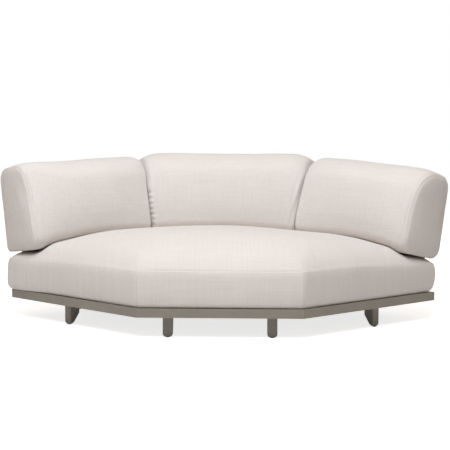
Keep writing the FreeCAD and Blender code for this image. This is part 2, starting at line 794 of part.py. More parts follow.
def seat_shape(grow, drop=0.0, plain=False):
    """The crowned seat, grown all round by grow and let down below by drop."""
    bottom = RAIL_TOP + size("soft_gap")
    tuck = size("seat_tuck")
    corner = size("seat_corner_radius")
    step = PLAIN_SKIP_COUNT if plain else 1
    sections = []
    for height_share, tuck_share, bulge_share in BORDER_SHARES[::step]:
        inset = tuck * tuck_share - size("seat_bulge") * bulge_share - grow
        level = bottom + size("seat_border") * height_share
        if height_share == 0:
            level -= grow + drop
        sections.append(seat_section(inset, corner, level, plain))
    seam = bottom + size("seat_border")
    reach = CROWN_REACH_SHARE * plan_depth / 2
    for reach_share, crown_share in CROWN_SHARES[::step]:
        inset = reach * reach_share - grow
        level = seam + size("seat_crown") * crown_share + grow
        rounding = corner + reach * reach_share * CROWN_ROUNDING_SHARE
        sections.append(seat_section(inset, rounding, level, plain))
    return soft_solid(sections)


def soft_form(label, shape, placement=None):
    form = doc.addObject("Part::Feature", label)
    form.Label = label
    form.Shape = shape
    form.Placement = placement or FreeCAD.Placement()
    return form


def end_fall(distance, drop, reach):
    """How far the top falls off at a distance from an end, along a quarter of an ellipse."""
    share = 1 - min(distance / reach, 1)
    return drop * (1 - math.sqrt(1 - share * share))


def back_section(across, turn_share, outline, into, plain):
    """The outline of a back cushion in one upright plane, which turns from square to the mitre."""
    thick = outline["front"] - into
    rear = outline["rear"] + into
    top = outline["top"] - into
    low = outline["low"] + into
    foot = size("back_foot_radius")
    rear_top = size("back_rear_radius")
    front_top = size("back_front_radius") - into
    near_middle = 1 - 1 / math.sqrt(2)
    high_front = thick - size("back_taper")

    def point(forward, up):
        inward = forward * math.cos(LEAN) - up * math.sin(LEAN)
        return FreeCAD.Vector(across - turn_share * inward * OBTUSE_TAN, forward, up)

    start = point(rear, low + foot)
    rear_high = point(rear, top - rear_top)
    top_rear = point(rear + rear_top, top)
    top_front = point(high_front - front_top, top)
    front_high = point(high_front, top - front_top)
    front_low = point(thick, low + foot)
    foot_front = point(thick - foot, low)
    foot_rear = point(rear + foot, low)
    front_middle = (high_front + thick) / 2
    front_level = (top - front_top + low + foot) / 2
    edges = [line(start, rear_high)]
    rear_round = point(rear + rear_top * near_middle, top - rear_top * near_middle)
    edges += curve(rear_high, rear_round, top_rear, plain)
    edges.append(line(top_rear, top_front))
    front_round = point(high_front - front_top * near_middle, top - front_top * near_middle)
    edges += curve(top_front, front_round, front_high, plain)
    edges += curve(front_high, point(front_middle + size("back_front_crown"), front_level), front_low, plain)
    edges += curve(front_low, point(thick - foot * near_middle, low + foot * near_middle), foot_front, plain)
    edges.append(line(foot_front, foot_rear))
    edges.append(line(foot_rear, start))
    return edges


def panel_section(across, turn_share, outline):
    """The outline of a back cushion's rear panel in one upright plane, between the roundings of its rear."""
    low = outline["low"] + size("back_foot_radius")
    top = outline["top"] - size("back_rear_radius")
    near = size("soft_gap")
    deep = near + size("cover_thickness")
    points = []
    for forward, up in ((near, low), (near, top), (deep, top), (deep, low)):
        inward = forward * math.cos(LEAN) - up * math.sin(LEAN)
        points.append(FreeCAD.Vector(across - turn_share * inward * OBTUSE_TAN, forward, up))
    return [line(points[number - 1], points[number]) for number in range(len(points))]


def end_stations(length, near_round, far_round, plain):
    """Places of the sections along a cushion with how deep the end rounding draws each one in."""
    rounding = END_ROUND_SHARES[::len(END_ROUND_SHARES) - 1] if plain else END_ROUND_SHARES
    middle = MIDDLE_SHARES[::PLAIN_SKIP_COUNT] if plain else MIDDLE_SHARES
    places = [(near_round * along, near_round * into) for along, into in rounding]
    places += [(length * share, 0.0) for share in middle]
    places += [(length - far_round * along, far_round * into) for along, into in reversed(rounding)]
    return places


def back_shape(centre, grow, rear, plain=False, panel=False):
    """A back cushion or its rear panel in its leaning frame: x along the rail, y forwards, z up the lean.
    The centre cushion runs from mitre to mitre, a side cushion from the sofa's end at x 0 to its mitre."""
    full = size("rear_cut") * math.sqrt(2) if centre else 2 * side_half
    near_end = size("mitre_gap") if centre else -size("outer_end_overhang")
    near_round = size("mitre_round") if centre else size("outer_end_round")
    length = full - near_end - size("mitre_gap") + 2 * grow
    sections = []
    for along, into in end_stations(length, near_round, size("mitre_round"), plain):
        across = near_end - grow + along
        share = across / full
        if centre:
            turn_share = 2 * share - 1
            height = size("centre_height")
            fall = end_fall(along, size("mitre_drop"), size("mitre_reach"))
            across -= full / 2
        else:
            turn_share = share
            height = size("side_outer_height") * (1 - share) + size("side_inner_height") * share
            fall = end_fall(along, size("outer_end_drop"), size("outer_end_reach"))
        fall += end_fall(length - along, size("mitre_drop"), size("mitre_reach"))
        swell = size("back_crown") * (1 - (2 * share - 1) ** 2)
        outline = {
            "front": size("soft_gap") + size("back_thickness") + swell + grow,
            "rear": rear,
            "top": size("back_bottom") + height - fall + grow,
            "low": size("back_bottom") - grow,
        }
        if panel and into == 0:
            sections.append(panel_section(across, turn_share, outline))
        elif not panel:
            sections.append(back_section(across, turn_share, outline, into, plain))
    return soft_solid(sections)


cover = size("cover_thickness")
gap = size("soft_gap")
inner_gap = cover + size("filling_play")

seat_form = soft_form("seat_form", seat_shape(0))
seat_hollow = soft_form("seat_hollow", seat_shape(-cover, 0, True))
seat_base_panel = plan_prism("seat_base_panel", "seat_tuck + panel_margin", "cover_thickness")
seat_base_panel.Placement = FreeCAD.Placement(FreeCAD.Vector(0, front_y, RAIL_TOP + gap), FreeCAD.Rotation())
seat_shell = combine("Part::Cut", "seat_shell", seat_form, seat_hollow)
nodes.append(combine("Part::Cut", "seat_cover", seat_shell, seat_base_panel))
nodes.append(seat_base_panel)
nodes.append(soft_form("seat_filling", seat_shape(-inner_gap, size("filling_play"), True)))

# The seat's form, grown, is what each back cushion is cut to where it stands on the seat.
seat_near = soft_form("seat_near", seat_shape(gap))
underside = gap + size("underside_thickness")
seat_nearer = soft_form("seat_nearer", seat_shape(underside, 0, True))
seat_nearest = soft_form("seat_nearest", seat_shape(underside + size("filling_play"), 0, True))


def make_back(name, centre, placement):
    """Cover, rear panel and filling of one back cushion, in this order."""
    form = soft_form(name + "_form", back_shape(centre, 0, gap), placement)
    hollow = soft_form(name + "_hollow", back_shape(centre, -cover, gap + cover, True), placement)
    core = soft_form(name + "_core", back_shape(centre, -inner_gap, gap + cover, True), placement)
    outer = combine("Part::Cut", name + "_outer", form, seat_near)
    inner = combine("Part::Cut", name + "_inner", hollow, seat_nearer)
    shell = combine("Part::Cut", name + "_shell", outer, inner)
    panel = soft_form(name + "_panel", back_shape(centre, -cover, gap, True, True), placement)
    return [
        combine("Part::Cut", name + "_cover", shell, panel),
        panel,
        combine("Part::Cut", name + "_filling", core, seat_nearest),
    ]


right_lean = shifted(rail_frame("right_back_rail", -side_half, RAIL_TOP), 0, 0, 0, size("back_lean"))
rear_lean = shifted(rail_frame("rear_rail", 0, RAIL_TOP), 0, 0, 0, size("back_lean"))
right_pieces = make_back("right_back", False, right_lean)
nodes += right_pieces
nodes += make_back("centre_back", True, rear_lean)
for piece in right_pieces:
    mirrored = doc.addObject("Part::Mirroring", piece.Name.replace("right", "left"))
    mirrored.Label = piece.Label.replace("right", "left")
    mirrored.Source = piece
    mirrored.Normal = XDIR
    nodes.append(mirrored)


# Checks and export

doc.recompute()
broken = [item.Label for item in doc.Objects if "Invalid" in item.State or "Error" in item.State]
if broken:
    raise RuntimeError("not computed: " + ", ".join(broken))
for node in nodes:
    if node.Shape.isNull() or not node.Shape.isValid() or not node.Shape.Solids:
        raise RuntimeError("bad shape: " + node.Label)

os.makedirs("parts", exist_ok=True)
for node in nodes:
    box = node.Shape.BoundBox
    print(
        "%-24s %2d solids %12.0f mm3  x %.1f to %.1f  y %.1f to %.1f  z %.1f to %.1f"
        % (node.Label, len(node.Shape.Solids), node.Shape.Volume,
           box.XMin, box.XMax, box.YMin, box.YMax, box.ZMin, box.ZMax)
    )
    node.Shape.exportStep("parts/%s.step" % node.Label)
print(len(nodes), "nodes")
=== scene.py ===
import math

import bmesh
import bpy
import numpy as np
from mathutils import Matrix, Vector
from mathutils.bvhtree import BVHTree
from mathutils.kdtree import KDTree


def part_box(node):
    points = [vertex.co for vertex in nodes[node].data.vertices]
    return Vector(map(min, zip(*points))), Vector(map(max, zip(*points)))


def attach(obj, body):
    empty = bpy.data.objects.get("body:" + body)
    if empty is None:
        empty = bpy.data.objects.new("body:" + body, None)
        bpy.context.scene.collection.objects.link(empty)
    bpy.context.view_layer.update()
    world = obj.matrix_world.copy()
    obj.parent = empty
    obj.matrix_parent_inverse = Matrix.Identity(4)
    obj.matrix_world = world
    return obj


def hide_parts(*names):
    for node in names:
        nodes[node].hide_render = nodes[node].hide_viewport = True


# A corner module of a modular sofa: powder-coated base, one crowned seat cushion, three leaning backs.
# All lengths are in metres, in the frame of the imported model.

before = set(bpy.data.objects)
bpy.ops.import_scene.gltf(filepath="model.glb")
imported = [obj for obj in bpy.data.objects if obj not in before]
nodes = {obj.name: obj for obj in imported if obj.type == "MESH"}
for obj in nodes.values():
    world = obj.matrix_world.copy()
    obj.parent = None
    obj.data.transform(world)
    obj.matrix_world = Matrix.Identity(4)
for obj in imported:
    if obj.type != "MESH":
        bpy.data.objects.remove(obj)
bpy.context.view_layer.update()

# Plan of the base, on the outer faces of the rails
LEG_LENGTH = 1.5
END_DEPTH = 0.96
REAR_CUT = 0.65
OBTUSE_HALF_TURN = math.radians(22.5)
HALF_TURN_TAN = math.tan(OBTUSE_HALF_TURN)
PLAN_DEPTH = (LEG_LENGTH + END_DEPTH - REAR_CUT) / math.sqrt(2)
SIDE_LENGTH = LEG_LENGTH - REAR_CUT
REAR_LENGTH = REAR_CUT * math.sqrt(2)
FRONT_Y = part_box("front_rail")[0].y
RAIL_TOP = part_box("front_rail")[1].z

# Seat cushion
SOFT_GAP = 0.0005
SEAT_BORDER = 0.172
SEAT_CROWN = 0.141
SEAT_BULGE = 0.012
SEAT_TUCK = 0.014
SEAT_CORNER = 0.012
CROWN_REACH_SHARE = 0.66
CROWN_REACH = CROWN_REACH_SHARE * PLAN_DEPTH / 2
CROWN_ROUNDING = 2.4
CORNER_LIMIT = 0.45
REACH_HALVINGS = 22
SEAT_BOTTOM = RAIL_TOP + SOFT_GAP
SEAT_SEAM = SEAT_BOTTOM + SEAT_BORDER

# Back cushions
LEAN = math.radians(11.5)
BACK_BOTTOM = 0.182
BACK_THICKNESS = 0.244
BACK_CROWN = 0.014
BACK_TAPER = 0.016
FRONT_CROWN = 0.018
TOP_CROWN = 0.003
FRONT_TOP_RADIUS = 0.130
REAR_TOP_RADIUS = 0.045
FOOT_RADIUS = 0.024
FRONT_FOOT_RADIUS = 0.050
MITRE_GAP = 0.001

# Shares of the border's height, of the tuck and of the bulge, from the lower edge to the seam
BORDER_SHARES = np.array([
    (0.00, 1.00, 0.00),
    (0.03, 0.42, 0.00),
    (0.08, 0.08, 0.05),
    (0.17, 0.00, 0.40),
    (0.31, 0.00, 0.82),
    (0.54, 0.00, 1.00),
    (0.78, 0.00, 0.92),
    (0.93, 0.00, 0.62),
    (1.00, 0.00, 0.25),
])

# Shares of the crown's reach and of its height, from the seam inwards
CROWN_SHARES = np.array([
    (0.00, 0.00),
    (0.04, 0.17),
    (0.10, 0.34),
    (0.20, 0.52),
    (0.34, 0.68),
    (0.50, 0.81),
    (0.72, 0.93),
    (1.00, 1.00),
])

# Cells of the seat's mesh: across the front, along an end, along a back leg, and up the border
SEAT_CELLS = {"front": 84, "end": 45, "back": 40, "border": 12}
ARC_STEPS = 8
TINY = 1e-9

# Seams and their stitches
SEAM_WIDTH = 0.0046
SEAM_DEPTH = 0.0042
SIDE_SEAM_DEPTH = 0.0020
CORNER_SEAM_DEPTH = 0.0060
END_SEAM_DEPTH = 0.0048
STITCH_PITCH = 0.0068
STITCH_LENGTH = 0.0046
STITCH_WIDTH = 0.0011
STITCH_HEIGHT_SHARE = 2 / 3
STITCH_SIDES = 4
STITCH_RISE = 0.0002
STITCH_SINK = 0.0001
STITCH_OFFSET = 0.0075
# Shares of a stitch's half length and of its thickness, from one end to the other
STITCH_FORM_SHARES = ((-1.0, 0.35), (-0.6, 1.0), (0.6, 1.0), (1.0, 0.35))


# Curves and meshes


def smooth_curve(xs, ys, at):
    """A cubic through the points (xs, ys) that doesn't overshoot, at the places at."""
    step = np.diff(xs)
    slope = np.diff(ys) / step
    turn = np.zeros(len(xs))
    same = slope[1:] * slope[:-1] > 0
    turn[1:-1][same] = 2 * (slope[1:] * slope[:-1])[same] / (slope[1:] + slope[:-1])[same]
    turn[0] = slope[0]
    turn[-1] = slope[-1]
    at = np.clip(at, xs[0], xs[-1])
    index = np.clip(np.searchsorted(xs, at, side="right") - 1, 0, len(step) - 1)
    width = step[index]
    s = (at - xs[index]) / width
    blend = s * s * (3 - 2 * s)
    rise = s * (1 - s) ** 2 * turn[index] - s * s * (1 - s) * turn[index + 1]
    return ys[index] * (1 - blend) + ys[index + 1] * blend + rise * width


def smoothstep(value):
    """0 up to 0, 1 from 1 on, and a soft rise between."""
    s = np.clip(value, 0, 1)
    return s * s * (3 - 2 * s)


def unit(vectors):
    return vectors / np.linalg.norm(vectors, axis=-1, keepdims=True)


def resampled(points, cells):
    """A polyline's points at even distances."""
    length = np.concatenate([[0], np.cumsum(np.linalg.norm(np.diff(points, axis=0), axis=1))])
    at = np.linspace(0, length[-1], cells + 1)
    return np.stack([np.interp(at, length, points[:, axis]) for axis in range(points.shape[1])], 1)


def rounded_corner(before, corner, after, radius, longest):
    """Two halves of the arc that rounds a corner: before and after its middle."""
    first = unit(before - corner)
    second = unit(after - corner)
    half = math.acos(np.clip(first @ second, -1, 1)) / 2
    reach = min(radius / math.tan(half), longest)
    radius = reach * math.tan(half)
    inward = unit(first + second)
    centre = corner + inward * radius / math.sin(half)
    side = unit(first - second)
    turn = (math.pi / 2 - half) * np.linspace(1, -1, 2 * ARC_STEPS + 1)[:, None]
    arc = centre + radius * (np.sin(turn) * side - np.cos(turn) * inward)
    return arc[: ARC_STEPS + 1], arc[ARC_STEPS:]


def polygon_sides(corners, radii, longest):
    """The sides of a polygon with rounded corners, each from the middle of one rounding to the next."""
    count = len(corners)
    halves = []
    for number in range(count):
        after = corners[(number + 1) % count]
        halves.append(rounded_corner(corners[number - 1], corners[number], after, radii[number], longest))
    sides = []
    for number in range(count):
        sides.append(np.concatenate([halves[number][1], halves[(number + 1) % count][0]]))
    return sides


def box_lattice(nx, ny, nz):
    """The points (i, j, k) on the surface of a box of cells, its quads and the index of each point."""
    index = -np.ones((nx + 1, ny + 1, nz + 1), int)
    place = np.stack(np.indices(index.shape), -1)
    outer = ((place == 0) | (place == (nx, ny, nz))).any(-1)
    index[outer] = np.arange(outer.sum())

    def quads(sheet, flip):
        found = np.stack([sheet[:-1, :-1], sheet[1:, :-1], sheet[1:, 1:], sheet[:-1, 1:]], -1)
        found = found.reshape(-1, 4)
        return found[:, ::-1] if flip else found

    faces = np.concatenate([
        quads(index[0], True),
        quads(index[-1], False),
        quads(index[:, 0], False),
        quads(index[:, -1], True),
        quads(index[:, :, 0], True),
        quads(index[:, :, -1], False),
    ])
    return place[outer], faces, index


def patch(low, high, left, right):
    """A smooth grid between four edges: low and high run along u, left and right along v."""
    u = np.linspace(0, 1, len(low))[:, None, None]
    v = np.linspace(0, 1, len(left))[None, :, None]
    across = (1 - v) * low[:, None] + v * high[:, None]
    along = (1 - u) * left[None] + u * right[None]
    corners = (1 - u) * (1 - v) * low[0] + u * (1 - v) * low[-1] + (1 - u) * v * high[0] + u * v * high[-1]
    return across + along - corners


def add_object(name, data):
    piece = bpy.data.objects.new(name, data)
    bpy.context.scene.collection.objects.link(piece)
    return piece


def make_mesh(name, points, faces):
    mesh = bpy.data.meshes.new(name)
    quads = [tuple(map(int, face)) for face in faces]
    mesh.from_pydata([tuple(point) for point in points], [], quads)
    mesh.validate()
    mesh.polygons.foreach_set("use_smooth", [True] * len(mesh.polygons))
    return add_object(name, mesh)


def mesh_points(mesh):
    points = np.empty(len(mesh.vertices) * 3)
    mesh.vertices.foreach_get("co", points)
    return points.reshape(-1, 3)


def set_points(piece, points):
    piece.data.vertices.foreach_set("co", points.ravel())
    piece.data.update()


# Seams


def ring(index, axis, level):
    """The closed loop of points round a lattice at one level of an axis."""
    sheet = np.take(index, level, axis=axis)
    return np.concatenate([sheet[:-1, 0], sheet[-1, :-1], sheet[:0:-1, -1], sheet[0, :0:-1]])


def closed_pairs(loop):
    return list(zip(loop, np.roll(loop, -1)))


def open_pairs(line):
    return list(zip(line[:-1], line[1:]))


def sew(piece, width, seams):
    """Sinks grooves along the edges between pairs of points; each seam is its pairs and its depth."""
    form = bmesh.new()
    form.from_mesh(piece.data)
    form.verts.ensure_lookup_table()
    edges = {}
    lines = []
    for pairs, depth in seams:
        for a, b in pairs:
            edge = form.edges.get((form.verts[int(a)], form.verts[int(b)]))
            if edge is not None:
                edges[edge.index] = edge
                lines.append(((edge.verts[0].co + edge.verts[1].co) / 2, depth))
                lines.append((edge.verts[0].co.copy(), depth))
    depths = KDTree(len(lines))
    for number, (place, _) in enumerate(lines):
        depths.insert(place, number)
    depths.balance()
    made = bmesh.ops.bevel(form, geom=[edges[number] for number in sorted(edges)], offset=width / 2,
                           offset_type="OFFSET", segments=2, profile=0.5, affect="EDGES")
    new = set(made["faces"])
    form.normal_update()
    middle = [vert for vert in form.verts if all(face in new for face in vert.link_faces)]
    moves = [(vert, vert.normal * lines[depths.find(vert.co)[1]][1]) for vert in middle]
    for vert, move in moves:
        vert.co -= move
    for face in form.faces:
        face.smooth = True
    form.to_mesh(piece.data)
    form.free()


def surface_tree(piece):
    """The piece's finished surface, for rays and for nearest points."""
    bpy.context.view_layer.update()
    mesh = piece.evaluated_get(bpy.context.evaluated_depsgraph_get()).data
    polygons = [tuple(polygon.vertices) for polygon in mesh.polygons]
    return BVHTree.FromPolygons([Vector(point) for point in mesh_points(mesh)], polygons)


def tube_faces(first, rings, sides):
    """The faces of a closed tube whose points lie ring by ring from a first one on."""
    faces = []
    for row in range(rings - 1):
        for turn in range(sides):
            a = first + sides * row + turn
            b = first + sides * row + (turn + 1) % sides
            faces.append((a, b, b + sides, a + sides))
    last = first + sides * (rings - 1)
    faces.append(tuple(range(first + sides - 1, first - 1, -1)))
    faces.append(tuple(range(last, last + sides)))
    return faces


def stitched(name, tree, lines, body):
    """Rows of stitches on a surface: each line is its points and whether it is closed."""
    points = []
    faces = []
    for line, closed in lines:
        if closed:
            line = np.concatenate([line, line[:1]])
        length = np.linalg.norm(np.diff(line, axis=0), axis=1).sum()
        spots = resampled(line, max(2, round(length / STITCH_PITCH)))
        for start, end in zip(spots[:-1], spots[1:]):
            along = Vector(end - start).normalized()
            middle, normal, _, _ = tree.find_nearest(Vector((start + end) / 2))
            if middle is None:
                continue
            along = (along - normal * along.dot(normal)).normalized()
            side = normal.cross(along)
            first = len(points)
            for share, fat in STITCH_FORM_SHARES:
                for turn in range(STITCH_SIDES):
                    swing = 2 * math.pi / STITCH_SIDES * turn
                    out = math.cos(swing) * STITCH_WIDTH / 2 * fat
                    up = math.sin(swing) * STITCH_WIDTH * STITCH_HEIGHT_SHARE / 2 * fat
                    up += STITCH_RISE * fat - STITCH_SINK
                    points.append(middle + along * (share * STITCH_LENGTH / 2) + side * out + normal * up)
            faces += tube_faces(first, len(STITCH_FORM_SHARES), STITCH_SIDES)
    piece = make_mesh(name, points, faces)
    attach(piece, body)
    return piece


def beside(points, line, neighbours, distance):
    """A line's points moved along the surface towards its neighbours."""
    return points[line] + unit(points[neighbours] - points[line]) * distance


# Plan of the sofa and the form of its seat


def plan_corners(inset):
    """The plan's six corners, drawn in by an inset: front left, front right and on round the sofa."""
    front_x = (LEG_LENGTH - END_DEPTH) / math.sqrt(2) - inset * HALF_TURN_TAN
    end_x = LEG_LENGTH / math.sqrt(2) - inset * math.sqrt(2)
    rear_x = REAR_CUT / math.sqrt(2) - inset * HALF_TURN_TAN
    end_y = FRONT_Y + END_DEPTH / math.sqrt(2)
    rear_y = FRONT_Y + PLAN_DEPTH - inset
    return np.array([
        (-front_x, FRONT_Y + inset),
        (front_x, FRONT_Y + inset),
        (end_x, end_y),
        (rear_x, rear_y),
        (-rear_x, rear_y),
        (-end_x, end_y),
    ])


def longest_reach(corners):
    """How far a corner's rounding may reach along the sides."""
    return CORNER_LIMIT * np.linalg.norm(corners - np.roll(corners, 1, axis=0), axis=-1).min(0)


def plan_ring(inset, radius):
    """The plan's rounded outline as front, right, rear and left edges of the seat's mesh."""
    corners = plan_corners(inset)
    sides = polygon_sides(corners, [radius] * len(corners), longest_reach(corners))
    cells = SEAT_CELLS
    counts = (cells["front"], cells["end"], cells["back"], cells["front"], cells["back"], cells["end"])
    sides = [resampled(side, count) for side, count in zip(sides, counts)]
    right = np.concatenate([sides[1], sides[2][1:]])
    left = np.concatenate([sides[4], sides[5][1:]])[::-1]
    return sides[0], right, sides[3][::-1], left


def inside_plan(points, inset):
    """Whether points of the plan lie in the rounded outline that is drawn in by one inset per point."""
    drift = plan_corners(1) - plan_corners(0)
    corners = plan_corners(0)[:, None] + inset[None, :, None] * drift[:, None]
    longest = longest_reach(corners)
    within = np.ones(len(points), bool)
    for before, corner, after in zip(np.roll(corners, 1, axis=0), corners, np.roll(corners, -1, axis=0)):
        first = unit(before - corner)
        second = unit(after - corner)
        half = np.arccos(np.clip((first * second).sum(1), -1, 1)) / 2
        reach = np.minimum((SEAT_CORNER + inset * CROWN_ROUNDING) / np.tan(half), longest)
        radius = reach * np.tan(half)
        centre = corner + unit(first + second) * (radius / np.sin(half))[:, None]
        away = points - corner
        across = first[:, 0] * away[:, 1] - first[:, 1] * away[:, 0]
        rounded = ((away * first).sum(1) < reach) & ((away * second).sum(1) < reach)
        within &= across <= TINY
        within &= ~(rounded & (np.linalg.norm(points - centre, axis=1) > radius))
    return within


def plan_depth_of(points):
    """How far in from the outline each point of the plan lies, up to the crown's reach."""
    low = np.zeros(len(points))
    high = np.full(len(points), CROWN_REACH)
    for _ in range(REACH_HALVINGS):
        middle = (low + high) / 2
        within = inside_plan(points, middle)
        low = np.where(within, middle, low)
        high = np.where(within, high, middle)
    return (low + high) / 2


def seat_points(place):
    """The crowned seat: a boxed border that bulges, a domed top and a flat underside."""
    points = np.zeros((len(place), 3))
    nx, ny, nz = place.max(0)
    i, j, k = place.T
    inside = (i > 0) & (i < nx) & (j > 0) & (j < ny)
    height = np.linspace(0, 1, nz + 1)
    tuck = smooth_curve(BORDER_SHARES[:, 0], BORDER_SHARES[:, 1], height) * SEAT_TUCK
    bulge = smooth_curve(BORDER_SHARES[:, 0], BORDER_SHARES[:, 2], height) * SEAT_BULGE
    for row in range(nz + 1):
        front, right, rear, left = plan_ring(tuck[row] - bulge[row], SEAT_CORNER)
        level = SEAT_BOTTOM + height[row] * SEAT_BORDER
        edges = ((i == 0, left, j), (i == nx, right, j), (j == 0, front, i), (j == ny, rear, i))
        for chosen, edge, along in edges:
            chosen = chosen & (k == row)
            points[chosen, :2] = edge[along[chosen]]
            points[chosen, 2] = level
        if row in (0, nz):
            grid = patch(front, rear, left, right)
            inner = inside & (k == row)
            points[inner, :2] = grid[i[inner], j[inner]]
            points[inner, 2] = level
    top = inside & (k == nz)
    depth = np.maximum(plan_depth_of(points[top, :2]) - tuck[nz], 0) / CROWN_REACH
    points[top, 2] += SEAT_CROWN * smooth_curve(CROWN_SHARES[:, 0], CROWN_SHARES[:, 1], depth)
    return points


# Cloth


CLOTH = {
    "quality": 5,
    "mass": 0.35,
    "tension_stiffness": 18,
    "compression_stiffness": 12,
    "shear_stiffness": 6,
    "bending_stiffness": 0.6,
    "air_damping": 1.5,
    "shrink_min": -0.010,
    "shrink_max": 0.025,
}
CLOTH_STEPS = 20


def weight_group(piece, name, weights):
    """A vertex group with one weight per point."""
    group = piece.vertex_groups.new(name=name)
    for weight in np.unique(weights):
        if weight > 0:
            group.add(np.nonzero(weights == weight)[0].tolist(), float(weight), "REPLACE")
    return group.name


def calmed(mesh, moved, pins, rounds):
    """Evens out moves between neighbouring points, so that only soft folds are left."""
    ends = np.empty(2 * len(mesh.edges), int)
    mesh.edges.foreach_get("vertices", ends)
    first, second = ends.reshape(-1, 2).T
    count = np.bincount(ends, minlength=len(moved))[:, None]
    for _ in range(rounds):
        total = np.zeros_like(moved)
        np.add.at(total, first, moved[second])
        np.add.at(total, second, moved[first])
        moved = (moved + total / count) / 2
        moved[pins > 0] = 0
    return moved


def puff_up(piece, pins, gathers, pressure, cap, calm):
    """Blows a cushion up as cloth, holds the pinned points and lets none move further than the cap."""
    before = mesh_points(piece.data)
    cloth = piece.modifiers.new("cloth", "CLOTH")
    settings = cloth.settings
    for key, value in CLOTH.items():
        setattr(settings, key, value)
    settings.use_pressure = True
    settings.uniform_pressure_force = pressure
    settings.effector_weights.gravity = 0
    settings.vertex_group_mass = weight_group(piece, "pins", pins)
    settings.vertex_group_shrink = weight_group(piece, "gathers", gathers)
    cloth.collision_settings.use_collision = False
    cloth.collision_settings.use_self_collision = False
    scene = bpy.context.scene
    for step in range(1, CLOTH_STEPS + 1):
        scene.frame_set(step)
    after = mesh_points(piece.evaluated_get(bpy.context.evaluated_depsgraph_get()).data)
    piece.modifiers.remove(cloth)
    piece.vertex_groups.clear()
    scene.frame_set(1)
    moved = calmed(piece.data, after - before, pins, calm)
    length = np.linalg.norm(moved, axis=1)
    moved *= (cap * np.tanh(length / cap) / np.maximum(length, TINY))[:, None]
    set_points(piece, before + moved)


def subdivide(piece):
    modifier = piece.modifiers.new("subdivision", "SUBSURF")
    modifier.levels = 1
    modifier.render_levels = 1


# Seat cushion


SEAT_PRESSURE = 1.0
SEAT_CAP = 0.006
SEAT_CALM = 14

# How far the backs press the seat down, and where that starts and ends
SEAT_LOWERING = 0.006
SIDE_LOWERING = {"left": 0.009, "right": 0.021}
LOWERING_SIDE_SPAN = 0.45
LOWERING_START = 0.20
LOWERING_SPAN = 0.45
LOWERING_FLOOR_SHARE = 0.4

# The level that the seat's outer ends keep under, which climbs inwards in two slopes
END_LEVEL = {"left": 0.312, "right": 0.288}
TIP_SLOPE = {"left": 0.10, "right": 0.22}
END_SLOPE = {"left": 1.1, "right": 0.6}
END_EDGE = {"left": 0.895, "right": 0.885}
LEVEL_BLEND = 0.012
LEVEL_FLOOR_SHARE = 0.5
LEVEL_SPAN_SHARE = 0.3

# The lip that stays up behind the side cushions
BEHIND_RISE = 0.028
BEHIND_START = 0.015
BEHIND_SPAN = 0.050
BEHIND_END_START = 0.015
BEHIND_END_SPAN = 0.020

# How far the left end is drawn in, and its lower half more so
LEFT_END_REACH = 0.018
LEFT_FOOT_REACH = 0.012
LEFT_END_START = 0.80
LEFT_END_SPAN = 0.22
LEFT_FOOT_SHARE = 0.5


def lesser(first, second, blend):
    """The lesser of two values, with a soft turn from one to the other."""
    return (first + second - np.sqrt((first - second) ** 2 + blend * blend)) / 2


def pressed(points):
    """The seat as its backs press it: lower under them, lowest at its outer ends, and uneven as in use."""
    x, y, z = points.T
    left = x < 0

    def sided(values):
        return np.where(left, values["left"], values["right"])

    side = smoothstep(np.abs(x) / LOWERING_SIDE_SPAN)
    back = smoothstep((y - FRONT_Y - LOWERING_START) / LOWERING_SPAN)
    floor = SEAT_BOTTOM + LOWERING_FLOOR_SHARE * SEAT_BORDER
    high = smoothstep((z - floor) / (SEAT_SEAM - floor))
    z = z - (SEAT_LOWERING + side * sided(SIDE_LOWERING)) * back * high
    end_x, end_y = plan_corners(0)[2]
    from_rear = (end_x - np.abs(x) - (y - end_y)) / math.sqrt(2)
    from_end = (end_x - np.abs(x) + (y - end_y)) / math.sqrt(2)
    behind = 1 - smoothstep((from_rear - BEHIND_START) / BEHIND_SPAN)
    behind *= smoothstep((from_end - BEHIND_END_START) / BEHIND_END_SPAN)
    limit = sided(END_LEVEL) + sided(TIP_SLOPE) * np.maximum(end_x - np.abs(x), 0)
    limit += sided(END_SLOPE) * np.maximum(sided(END_EDGE) - np.abs(x), 0) + BEHIND_RISE * behind
    level = lesser(z, limit, LEVEL_BLEND)
    floor = SEAT_BOTTOM + LEVEL_FLOOR_SHARE * SEAT_BORDER
    z = z + (level - z) * smoothstep((z - floor) / (LEVEL_SPAN_SHARE * SEAT_BORDER))
    out = smoothstep((-x - LEFT_END_START) / LEFT_END_SPAN)
    low = 1 - smoothstep((z - SEAT_BOTTOM) / (LEFT_FOOT_SHARE * SEAT_BORDER))
    x = x - out * (LEFT_END_REACH + LEFT_FOOT_REACH * low)
    return np.stack([x, y, z], 1)


